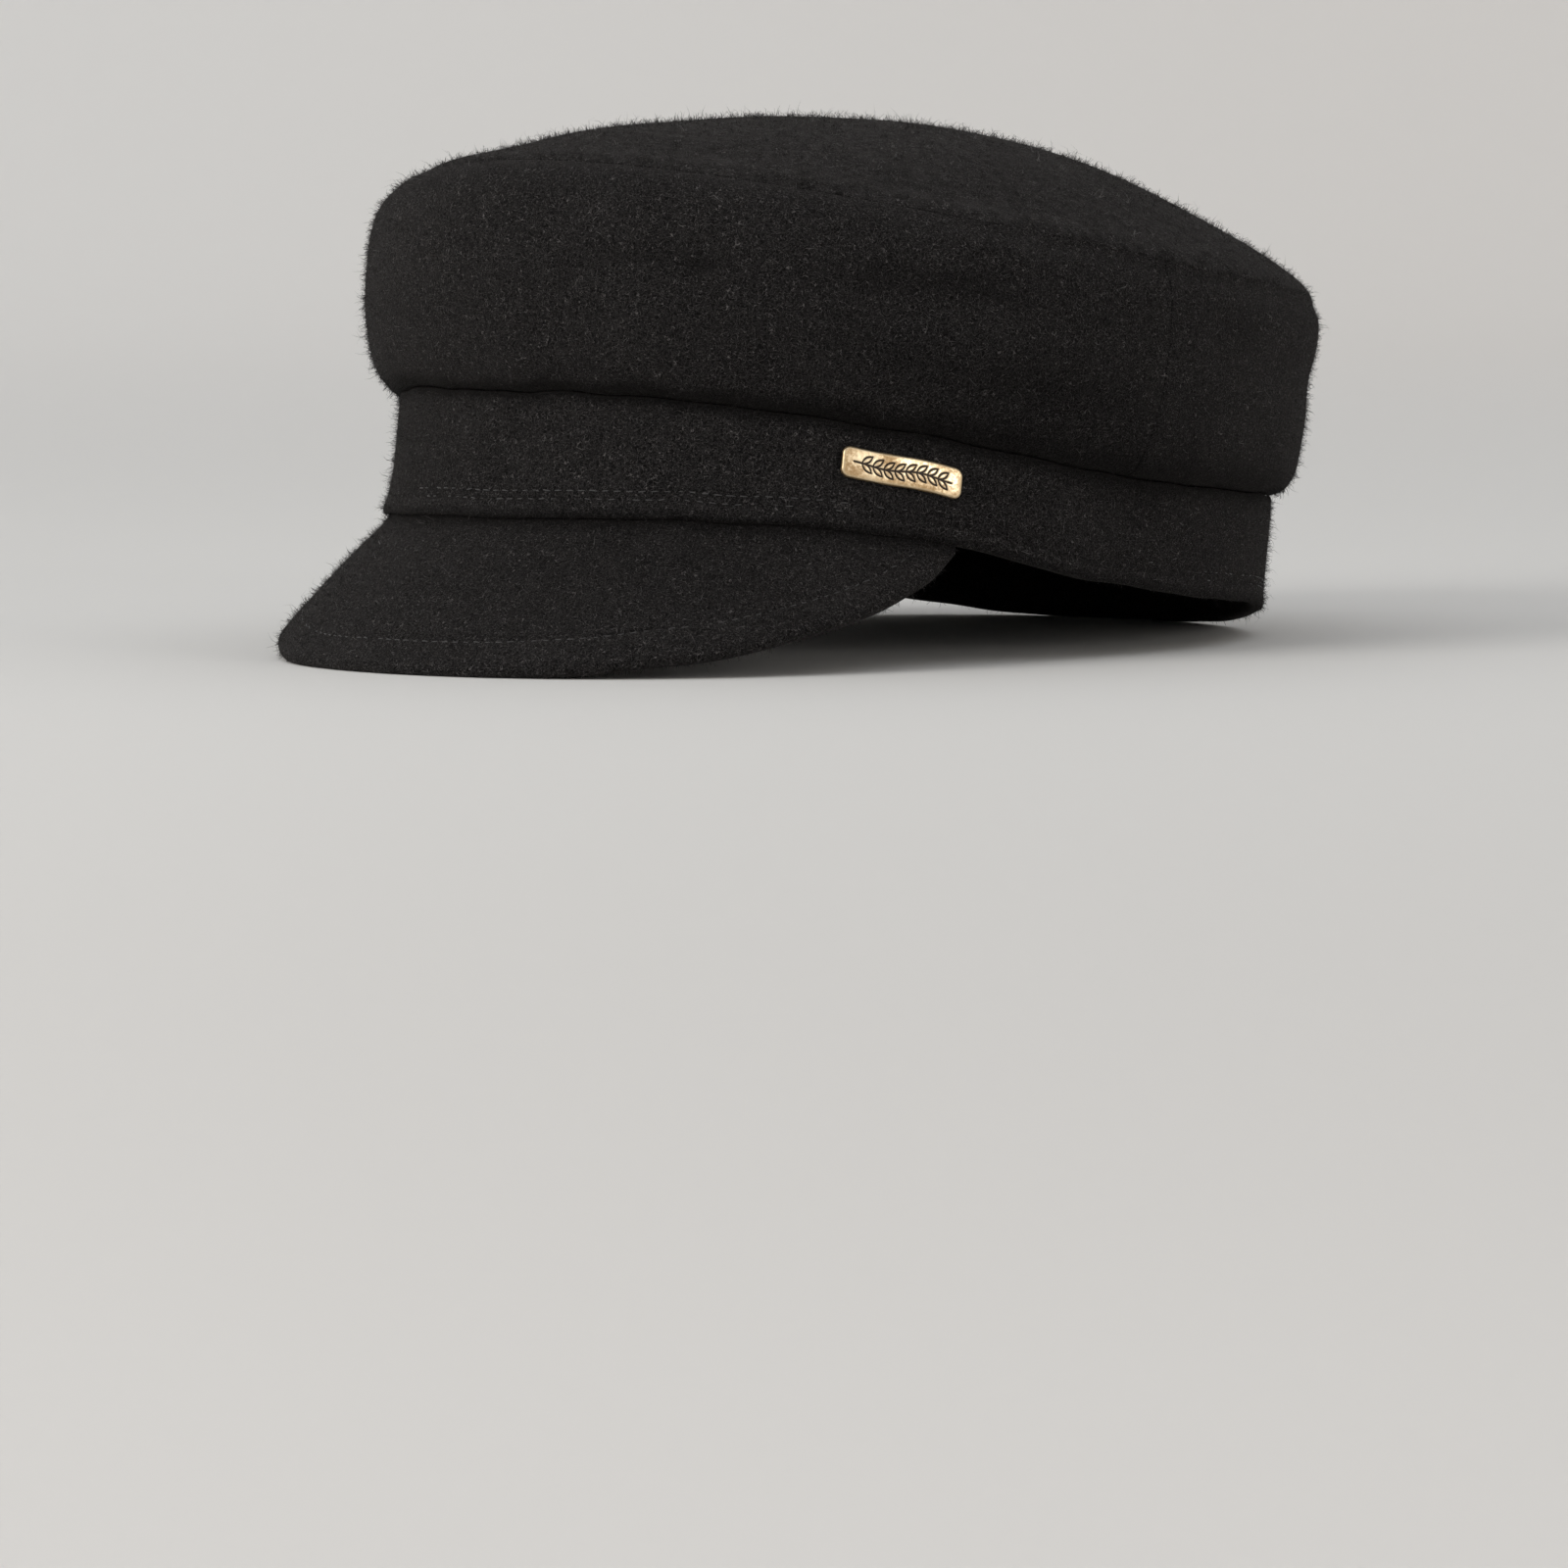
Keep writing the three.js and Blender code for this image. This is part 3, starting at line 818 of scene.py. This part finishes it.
crowding = math.pi / 2 * 0.8
peak_turns = PEAK_END * np.sin(np.linspace(-1, 1, PEAK_COLUMNS) * crowding) / math.sin(crowding)
peak_turns = peak_turns[:, None]
reach = peak_reach(peak_turns)
in_steps = np.concatenate([np.arange(8.6, 4.6, -0.25), [4.2, 3.6, 3, 2.4, 1.8, 1.2, 0.6, 0]])
edge_zone = np.minimum(in_steps * np.minimum(reach / 12, 1), reach)
inner_zone = (reach - edge_zone[:, :1]) * np.linspace(0, 1, PEAK_ROWS)[None, :-1]
distance = np.concatenate([inner_zone, reach - edge_zone], 1)
top = peak_face(peak_turns, distance)
radius = PEAK_THICK / 2
curve = np.radians(np.arange(12, 180, 12))
bulge = radius * peak_thinning(peak_turns) * np.sin(curve)
edge = peak_point(peak_turns, reach + bulge, radius - radius * np.cos(curve))
under = peak_point(peak_turns, reach * np.linspace(1, 0, PEAK_UNDER_ROWS), PEAK_THICK)
root_depth = PEAK_THICK / math.sin(PEAK_SLOPE) * peak_thinning(peak_turns)
root = on_oval(peak_turns, -PEAK_INSET - root_depth, hem_height(peak_turns) + PEAK_LAP)
peak_loops = np.concatenate([root, top, edge, under[:, :-1]], 1)
for end in (0, -1):
    peak_loops[end] = peak_loops[end].mean(0)
# Painted shade on the peak's top.
peak_painted_shade = np.zeros(peak_loops.shape[:2])
peak_top_painted_shade = PEAK_ROOT_PAINTED_SHADE * hump(distance, PEAK_ROOT_PAINTED_SHADE_WIDE)
peak_top_painted_shade = peak_top_painted_shade + dent_and_shade_patches(PEAK_PAINTED_SHADOWS, peak_turns, distance)
peak_painted_shade[:, 1 : 1 + top.shape[1]] = peak_top_painted_shade
peak_loops = set_down(peak_loops, ground=0.05)
peak = new_piece(
    "peak_cloth",
    peak_loops.reshape(-1, 3),
    grid_faces(*peak_loops.shape[:2], False, True),
    wool,
    {"painted_shade": peak_painted_shade},
)
close_up(peak)
peak_shown = slice(top.shape[1] + edge.shape[1], 0, -1)
peak_outside = (peak_loops[:, peak_shown], peak_painted_shade[:, peak_shown])
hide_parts("peak")
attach(peak, "root")


# The stitching is a spun black polyester thread, a little smoother than the wool. Each stitch
# lies in its own small dimple, and the nap half covers some of them.
THREAD_RADIUS, THREAD_SIDES, STITCH_LENGTH, STITCH_STOPS = 0.115, 7, 2.0, 7
STITCH_RISE, STITCH_DIVE = 0.1, 0.3
STITCH_LIE, STITCH_LIE_SPREAD, STITCH_TWIST = -0.1, 0.08, 6
STITCH_UNEVEN, STITCH_WANDER, STITCH_WANDER_SIZE = (0.82, 1.1), 0.05, 30
THREAD_TAPER = 0.85
ROW_SHIFT = 0.9
PEAK_BURIED, PEAK_ROW_ENDS = -0.05, 3
BURIED_STITCHES = (
    # turn of the middle, spread, depth
    (84, 32, 0.24),
    (-42, 24, 0.3),
)


def sewing_thread():
    material, shader, place = finish("sewing_thread")
    strand = place.noise(1800.0, 2.0, 0.6)
    wire_to(shader, "Base Color", strand.tint((0.016, 0.015, 0.0152, 1), (0.055, 0.052, 0.052, 1)))
    wire_to(shader, "Roughness", strand.between(0.3, 0.7, 0.42, 0.62))
    shader["Sheen Weight"].default_value = 0.15
    return material


thread = sewing_thread()


def stitch_row(name, centres, ways, normals, buried, seed):
    chance = np.random.default_rng(seed)
    count = len(centres)
    ways = ways / np.linalg.norm(ways, axis=-1, keepdims=True)
    sides = np.cross(normals, ways)
    twist = np.radians(chance.normal(0, STITCH_TWIST, count))[:, None]
    ways = ways * np.cos(twist) + sides * np.sin(twist)
    sides = np.cross(normals, ways)
    length = STITCH_LENGTH * chance.uniform(*STITCH_UNEVEN, count)
    lie = chance.normal(STITCH_LIE, STITCH_LIE_SPREAD, count)
    lie = lie + STITCH_WANDER * drift(centres, STITCH_WANDER_SIZE, seed) - buried
    stops = np.linspace(-1, 1, STITCH_STOPS)
    middle = (
        centres[:, None]
        + ways[:, None] * (stops[None, :, None] * length[:, None, None] / 2)
        + normals[:, None] * (STITCH_RISE - STITCH_DIVE * stops**4 + lie[:, None])[..., None]
    )
    girth = THREAD_RADIUS * np.sqrt(1 - THREAD_TAPER * stops**6)
    corners = np.linspace(0, 2 * math.pi, THREAD_SIDES, endpoint=False)
    rings = middle[:, :, None] + girth[None, :, None, None] * (
        np.cos(corners)[None, None, :, None] * sides[:, None, None]
        + np.sin(corners)[None, None, :, None] * normals[:, None, None]
    )
    points = rings.reshape(count, -1, 3)
    one = grid_faces(len(stops), len(corners), False, True)
    faces = (one[None] + (np.arange(count) * points.shape[1])[:, None, None]).reshape(-1, 4)
    row = new_piece(name, set_down(points).reshape(-1, 3), faces, thread)
    close_up(row, fill_ends=True)
    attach(row, "root")
    return row


def peak_row(turn):
    return peak_face(turn, peak_reach(turn) - PEAK_STITCH_IN)


lap = arc_round(2 * math.pi)
fine_turns = np.linspace(0, 2 * math.pi, 3000)
stitches_round = round(lap / STITCH_PITCH)
near_by = 0.004
for number, row_height in enumerate(BAND_STITCH_ROWS):
    places = np.arange(stitches_round) * lap / stitches_round
    turns = np.interp(places + ROW_SHIFT * number, arc_round(fine_turns), fine_turns)
    level = np.full_like(turns, row_height)
    centres = band_face(turns, level)
    ways = band_face(turns + near_by, level) - band_face(turns - near_by, level)
    buried = waves(BURIED_STITCHES, turns)
    stitch_row(f"band_stitches_{number + 1}", centres, ways, outward(turns), buried, 41 + number)

places = np.arange(STITCH_PITCH, stitch_length[-1], STITCH_PITCH)
turns = np.interp(places, stitch_length, stitch_turns)
turns = turns[peak_reach(turns) > PEAK_STITCH_IN + PEAK_ROW_ENDS]
ways = peak_row(turns + near_by) - peak_row(turns - near_by)
stitch_row("peak_stitches", peak_row(turns), ways, peak_normal(turns), PEAK_BURIED, 47)


# The nap is the brushed-up ends of the wool's own fibres. Most lie close to the cloth, and the
# longer hooked ones stand off it and blur the cap's outline. Some cling together in tufts.
FIBRE_ROOT, TUFT_SPREAD = 0.00004, 0.00022
SHORT_LEAST, SHORT_MOST = (0.4, 0.025), (1.4, 0.045)
SHORT_STAND, SHORT_STAND_SPAN, SHORT_STAND_POWER = 4, 80, 1.8
LONG_LEAST, LONG_MOST, LONG_MIDDLE, LONG_SPREAD = 0.8, 4.2, 0.5, 0.42
LONG_GIRTH, LONG_THINNED = (0.024, 0.05), 0.8
LONG_STAND, LONG_DROOP, LONG_CURL = (25, 88), (15, 110), 45
LEAN_DOWN = 0.35
PALE_POWER = 5.5
LOWEST_POINT = 0.0001
SPIKE_POINTS, HOOK_POINTS = 4, 7
SPIKE_FACES = np.array([[0, 1, 3], [1, 2, 3], [2, 0, 3]])
HOOK_FACES = np.array(
    [[0, 1, 4], [0, 4, 3], [1, 2, 5], [1, 5, 4], [2, 0, 3], [2, 3, 5], [3, 4, 6], [4, 5, 6], [5, 3, 6]]
)
NAP_SHADES = (
    # dark, light, loose fibre
    (0.0035, 0.0032, 0.0032),
    (0.05, 0.0472, 0.0468),
    (0.26, 0.25, 0.245),
)
nap_wool = wool_melton("wool_nap", *NAP_SHADES)
tip_nap_wool = wool_melton("wool_nap_tip", *NAP_SHADES, TIP_MOTTLE)


def fibre_roots(outside, count, chance, ring, tuft):
    face, painted_shade = outside
    sides = grid_faces(*face.shape[:2], ring, False)
    quads = face.reshape(-1, 3)[sides]
    slant = np.cross(quads[:, 2] - quads[:, 0], quads[:, 3] - quads[:, 1])
    area = np.linalg.norm(slant, axis=-1)
    tufts = -(-count // tuft)
    picked = np.repeat(chance.choice(len(quads), tufts, p=area / area.sum()), tuft)[:count]
    s, t = np.repeat(chance.uniform(size=(2, tufts, 1)), tuft, 1)[:, :count]
    a, b, c, d = quads[picked].transpose(1, 0, 2)
    foot = (a * (1 - s) + b * s) * (1 - t) + (d * (1 - s) + c * s) * t
    normal = slant[picked] / area[picked, None]
    way = np.cross(normal, chance.normal(size=(count, 3)))
    way += LEAN_DOWN * np.linalg.norm(way, axis=-1, keepdims=True) * np.array([0, 0, -1])
    way -= normal * (way * normal).sum(-1, keepdims=True)
    way /= np.linalg.norm(way, axis=-1, keepdims=True)
    side = np.cross(normal, way)
    if tuft > 1:
        apart = chance.normal(0, TUFT_SPREAD, (2, count, 1))
        foot = foot + way * apart[0] + side * apart[1]
    # Each fibre carries the painted shade of the cloth at its root.
    shadow = painted_shade.ravel()[sides[picked, 0]]
    return foot - normal * FIBRE_ROOT, normal, way, side, shadow


def three_round(centre, girth, side, up):
    corners = (0, 2 * math.pi / 3, 4 * math.pi / 3)
    return [centre + girth * (side * math.cos(a) + up * math.sin(a)) for a in corners]


def brushed_nap(name, outside, lying, standing, seed, ring, tuft, material):
    chance = np.random.default_rng(seed)
    start, normal, way, side, spike_shadow = fibre_roots(outside, lying, chance, ring, tuft)
    length, girth = chance.uniform(SHORT_LEAST, SHORT_MOST, (lying, 2)).T[..., None] / 1000
    stand = SHORT_STAND + SHORT_STAND_SPAN * chance.uniform(size=lying) ** SHORT_STAND_POWER
    stand = np.radians(stand)[:, None]
    rise = way * np.cos(stand) + normal * np.sin(stand)
    spikes = three_round(start, girth, side, np.cross(side, rise))
    spikes = np.stack([*spikes, start + length * rise], 1)

    start, normal, way, side, hook_shadow = fibre_roots(outside, standing, chance, ring, tuft)
    length = chance.lognormal(LONG_MIDDLE, LONG_SPREAD, standing)
    length = np.clip(length, LONG_LEAST, LONG_MOST)[:, None] / 1000
    girth = chance.uniform(*LONG_GIRTH, standing)[:, None] / 1000
    stand = np.radians(chance.uniform(*LONG_STAND, standing))[:, None]
    droop = stand - np.radians(chance.uniform(*LONG_DROOP, standing))[:, None]
    curl = np.radians(chance.normal(0, LONG_CURL, standing))[:, None]
    rise = way * np.cos(stand) + normal * np.sin(stand)
    middle = start + length * 0.5 * rise
    onward = (way * np.cos(curl) + side * np.sin(curl)) * np.cos(droop) + normal * np.sin(droop)
    up = np.cross(side, rise)
    hooks = three_round(start, girth, side, up)
    hooks += three_round(middle, girth * LONG_THINNED, side, up)
    hooks = np.stack([*hooks, middle + length * 0.5 * onward], 1)

    spike_starts = np.arange(lying)[:, None, None] * SPIKE_POINTS
    hook_starts = lying * SPIKE_POINTS + np.arange(standing)[:, None, None] * HOOK_POINTS
    spike_faces = (SPIKE_FACES + spike_starts).reshape(-1, 3)
    hook_faces = (HOOK_FACES + hook_starts).reshape(-1, 3)
    points = np.concatenate([spikes.reshape(-1, 3), hooks.reshape(-1, 3)])
    points[:, 2] = np.maximum(points[:, 2], LOWEST_POINT)
    shadow = np.concatenate(
        [np.repeat(spike_shadow, SPIKE_POINTS), np.repeat(hook_shadow, HOOK_POINTS)]
    )
    tufts = [chance.uniform(size=-(-count // tuft)) for count in (lying, standing)]
    tone = np.concatenate([np.repeat(t, tuft)[:c] for t, c in zip(tufts, (lying, standing))])
    tone = np.repeat(tone**PALE_POWER, [SPIKE_POINTS] * lying + [HOOK_POINTS] * standing)
    layers = {"painted_shade": shadow, "tone": tone}
    fibres = new_piece(name, points, np.concatenate([spike_faces, hook_faces]), material, layers)
    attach(fibres, "root")


share = 1
for name, outside, lying, standing, seed, ring, tuft, material in (
    ("crown_tip_nap", tip_outside, 19000, 14500, 13, True, 3, tip_nap_wool),
    ("crown_front_nap", front_outside, 15000, 10500, 15, False, 1, nap_wool),
    ("crown_back_nap", back_outside, 11000, 8000, 14, False, 1, nap_wool),
    ("band_nap", band_outside, 14000, 8500, 8, True, 1, nap_wool),
    ("peak_nap", peak_outside, 8000, 4800, 8, False, 2, nap_wool),
):
    lying, standing = int(lying * share), int(standing * share)
    brushed_nap(name, outside, lying, standing, seed, ring, tuft, material)


# The plate is a small die-struck bar of antiqued brass, curved to the band and held by two pins
# through the cloth. Its face carries an engraved leaf spray, darkened in the cuts.
PLATE_AT = math.radians(56.1)
PLATE_UP, PLATE_LONG, PLATE_HIGH = 13.3, 26.1, 6.4
PLATE_SLANT = math.radians(3.7)
PLATE_THICK, PLATE_BEVEL, PLATE_DOME, PLATE_CORNER = 1.1, 0.55, 0.15, 1.7
PLATE_PER_TURN = math.hypot(HALF_WIDTH * math.cos(PLATE_AT), HALF_LENGTH * math.sin(PLATE_AT))
LEAF_PAIRS, LEAF_STEP, LEAF_LONG, LEAF_WIDE, LEAF_START = 8, 2.35, 1.35, 0.52, -0.6
LEAF_SPREAD, STEM_SWAY, STEM_BENDS = 38, 0.25, 0.45
CUT_WIDE, CUT_DEEP, CUT_CLEAR = 0.18, 0.24, (0.5, 0.9)
HIGHLIGHT_RIDGE_AT, HIGHLIGHT_RIDGE_WIDE, RIM_SHADE_WIDE = 0.35, 0.22, 1.1
PLATE_COLUMNS, PLATE_ROWS, END_ZONE, EDGE_ZONE = 250, 76, 0.8, 0.72


def leaf_spray(along, across):
    span = (LEAF_PAIRS + 1) * LEAF_STEP / 2
    stem = across - STEM_SWAY * np.sin(along * STEM_BENDS)
    past = np.clip(np.abs(along) - span, 0, None)
    cut = hump(np.hypot(stem, past), CUT_WIDE)
    for pair in range(LEAF_PAIRS):
        base = (pair - (LEAF_PAIRS - 1) / 2) * LEAF_STEP + LEAF_START
        for side in (-1, 1):
            lean = math.radians(LEAF_SPREAD * side)
            dx = along - base - LEAF_LONG * math.cos(lean)
            dy = across - STEM_SWAY * math.sin(base * STEM_BENDS) - LEAF_LONG * math.sin(lean)
            x = dx * math.cos(lean) + dy * math.sin(lean)
            y = -dx * math.sin(lean) + dy * math.cos(lean)
            girth = LEAF_WIDE * np.clip(1 - (x / LEAF_LONG) ** 2, 0, None)
            beyond = np.clip(np.abs(x) - LEAF_LONG, 0, None)
            cut = np.maximum(cut, hump(np.hypot(np.abs(y) - girth, beyond), CUT_WIDE))
    return cut


half_long, half_high = PLATE_LONG / 2, PLATE_HIGH / 2
end_steps = np.array([0, 0.015, 0.05, 0.1, 0.17, 0.25, 0.34, 0.44, 0.56, 0.7])
edge_steps = np.array([0, 0.03, 0.09, 0.17, 0.27, 0.38, 0.5, 0.6])
inner_long = np.linspace(-half_long + END_ZONE, half_long - END_ZONE, PLATE_COLUMNS)
columns = np.concatenate([-half_long + end_steps, inner_long, (half_long - end_steps)[::-1]])
inner_high = np.linspace(-1, 1, PLATE_ROWS) * (1 - EDGE_ZONE / half_high)
near_edge = 1 - edge_steps / half_high
shares = np.concatenate([-near_edge, inner_high, near_edge[::-1]])
past = np.clip(np.abs(columns) - (half_long - PLATE_CORNER), 0, None)
half = half_high - PLATE_CORNER + np.sqrt(np.clip(PLATE_CORNER**2 - past**2, 0, None))
along = np.broadcast_to(columns[:, None], (len(columns), len(shares)))
across = shares[None] * half[:, None]
corner_x = np.clip(np.abs(along) - (half_long - PLATE_CORNER), 0, None)
corner_y = np.clip(np.abs(across) - (half_high - PLATE_CORNER), 0, None)
straight = np.minimum(half_long - np.abs(along), half_high - np.abs(across))
to_edge = np.where(
    (corner_x > 0) & (corner_y > 0), PLATE_CORNER - np.hypot(corner_x, corner_y), straight
)
to_edge = np.clip(to_edge, 0, None)
cut = leaf_spray(along, across) * ease(to_edge, *CUT_CLEAR)
dome = PLATE_DOME * (1 - (across / half_high) ** 2)
height = SEWN_GAP + PLATE_THICK + dome - rounded_edge(to_edge, PLATE_BEVEL) - CUT_DEEP * cut
turns = PLATE_AT + along / PLATE_PER_TURN
level = hem_height(turns) + PLATE_UP + across - along * math.tan(PLATE_SLANT)
plate_face = on_oval(turns, height, level)
plate_back = on_oval(turns[:, [-1, 0]], SEWN_GAP, level[:, [-1, 0]])
plate_loops = np.concatenate([plate_face, plate_back], 1)
cuts = np.pad(cut, ((0, 0), (0, 2)))
# Painted highlight: a narrow pale ridge just inside the plate's edge.
edge_highlight = np.pad(hump(to_edge - HIGHLIGHT_RIDGE_AT, HIGHLIGHT_RIDGE_WIDE), ((0, 0), (0, 2)))
# Painted shade: the brass turns a darker brown towards the rim and over the bevel.
rim = np.pad(hump(to_edge, RIM_SHADE_WIDE), ((0, 0), (0, 2)), constant_values=1)


def antique_brass():
    material, shader, place = finish("antique_brass")
    in_cut = place.layer("cut")
    stain = place.noise(190.0, 4.0, 0.62)
    speck = place.noise(1700.0, 3.0, 0.65)
    tarnish = (stain * 0.75 + speck * 0.35).between(0.44, 0.66)
    metal = tarnish.tint((0.97, 0.79, 0.53, 1), (0.47, 0.31, 0.16, 1))
    # Painted shade: darker brown towards the rim.
    metal = (place.layer("rim") * 0.62).tint(metal, (0.4, 0.26, 0.115, 1))
    # Painted highlight along the ridge inside the edge.
    metal = (place.layer("edge_highlight") * 0.4).tint(metal, (0.95, 0.82, 0.58, 1))
    wire_to(shader, "Base Color", in_cut.between(0.1, 0.55).tint(metal, (0.03, 0.018, 0.011, 1)))
    wire_to(shader, "Roughness", (tarnish * 0.22 + speck * 0.16 + in_cut * 0.3) + 0.26)
    wire_to(shader, "Metallic", 1 - in_cut.between(0.2, 0.9) * 0.85)
    dents = place.noise(900.0, 3.0, 0.6) * 0.6 + stain * 0.4
    bump = place.node("ShaderNodeBump", {}, {"Height": dents, "Strength": 0.35, "Distance": 0.0003})
    wire_to(shader, "Normal", bump)
    return material


plate = new_piece(
    "brass_plate",
    set_down(plate_loops).reshape(-1, 3),
    grid_faces(*plate_loops.shape[:2], False, True),
    antique_brass(),
    {"cut": cuts, "edge_highlight": edge_highlight, "rim": rim},
)
close_up(plate)
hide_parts("badge")
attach(plate, "root")


# The studio: a pale floor that sweeps up into a round pale wall without an edge, an open bright
# sky, one large soft light from the left in front, and a small weak one from the right.
FLAT_REACH, SWEEP_RADIUS, WALL_TOP = 2.1, 1.5, 3.0
FLOOR_DROP = 0.00005
floor_rings = [(r, 0.0) for r in (0.0001, 0.15, 0.3, 0.6, 1, 1.5, FLAT_REACH)]
for bend in np.linspace(0, math.pi / 2, 25)[1:]:
    reach = FLAT_REACH + SWEEP_RADIUS * math.sin(bend)
    floor_rings.append((reach, SWEEP_RADIUS - SWEEP_RADIUS * math.cos(bend)))
floor_rings += [(FLAT_REACH + SWEEP_RADIUS, 2.2), (FLAT_REACH + SWEEP_RADIUS, WALL_TOP)]
spin = np.linspace(0, 2 * math.pi, 96, endpoint=False)
sweep = np.array(
    [[(r * math.cos(a), r * math.sin(a), z - FLOOR_DROP) for r, z in floor_rings] for a in spin]
)
paper, paper_shader, place = finish("studio_paper")
far = place.node("ShaderNodeVectorMath", {"operation": "LENGTH"}, {0: place}, "Value")
# Painted shade on the paper: the floor is darker than the wall and darker towards the camera, and the
# wall is darker towards the right.
to_right_side = place.along((0.75, 0.66, 0)).between(-0.5, 0.5)
to_front = place.along((0.66, -0.75, 0)).between(-0.1, 1.0)
wall = to_right_side.tint((0.87, 0.85, 0.82, 1), (0.83, 0.8, 0.765, 1))
floor = to_front.tint((0.715, 0.702, 0.678, 1), (0.58, 0.565, 0.545, 1))
wire_to(paper_shader, "Base Color", far.between(0.3, 2.6).tint(floor, wall))
paper_shader["Roughness"].default_value = 0.9
paper_shader["Specular IOR Level"].default_value = 0.15
backdrop = new_piece(
    "studio_sweep", sweep.reshape(-1, 3), grid_faces(*sweep.shape[:2], True, False), paper
)

world = bpy.data.worlds.new("studio_sky")
bpy.context.scene.world = world
world.use_nodes = True
sky = world.node_tree.nodes["Background"].inputs
sky["Color"].default_value = (0.93, 0.96, 1.0, 1)
sky["Strength"].default_value = 0.76

AIM = Vector((0, 0.001, 0.055))
VIEW_AZIMUTH = math.radians(41.59)
to_right = Vector((math.cos(VIEW_AZIMUTH), math.sin(VIEW_AZIMUTH), 0))
to_camera = Vector((math.sin(VIEW_AZIMUTH), -math.cos(VIEW_AZIMUTH), 0))


def soft_light(name, right, toward, up, size, power, colour):
    lamp = bpy.data.lights.new(name, "AREA")
    lamp.shape, lamp.size, lamp.energy, lamp.color = "DISK", size, power, colour
    holder = bpy.data.objects.new(name, lamp)
    bpy.context.scene.collection.objects.link(holder)
    holder.location = AIM + to_right * right + to_camera * toward + Vector((0, 0, up))
    holder.rotation_euler = (AIM - holder.location).to_track_quat("-Z", "Y").to_euler()


soft_light("key_light", -1.5, 1.1, 0.7, 1.1, 22.5, (1, 0.985, 0.96))
soft_light("fill_light", 1.5, 1.4, 0.4, 0.7, 7, (1, 0.98, 0.96))


# The camera stands where the photograph's did, 1.8 m off with a long lens, so that the cap sits
# in the same place in the frame.
cap_shift = Vector((0, SHIFT / 1000, 0))
CAMERA_PLACE = Vector((1.1942, -1.352, 0.115)) + cap_shift
CAMERA_AIM = Vector((-0.0015, -0.0116, -0.0302)) + cap_shift
CAMERA_ROLL = math.radians(-0.24)
camera = bpy.data.objects.new("photo_camera", bpy.data.cameras.new("photo_camera"))
bpy.context.scene.collection.objects.link(camera)
forward = (CAMERA_AIM - CAMERA_PLACE).normalized()
right = forward.cross(Vector((0, 0, 1))).normalized()
above = right.cross(forward)
tipped = right * math.cos(CAMERA_ROLL) + above * math.sin(CAMERA_ROLL)
above = tipped.cross(forward)
turned = Matrix((tipped, above, -forward)).transposed().to_4x4()
camera.matrix_world = Matrix.Translation(CAMERA_PLACE) @ turned
camera.data.lens, camera.data.sensor_width = 192.53, 36
camera.data.clip_start, camera.data.clip_end = 0.05, 30
bpy.context.scene.camera = camera
bpy.context.scene.view_settings.view_transform = "Standard"
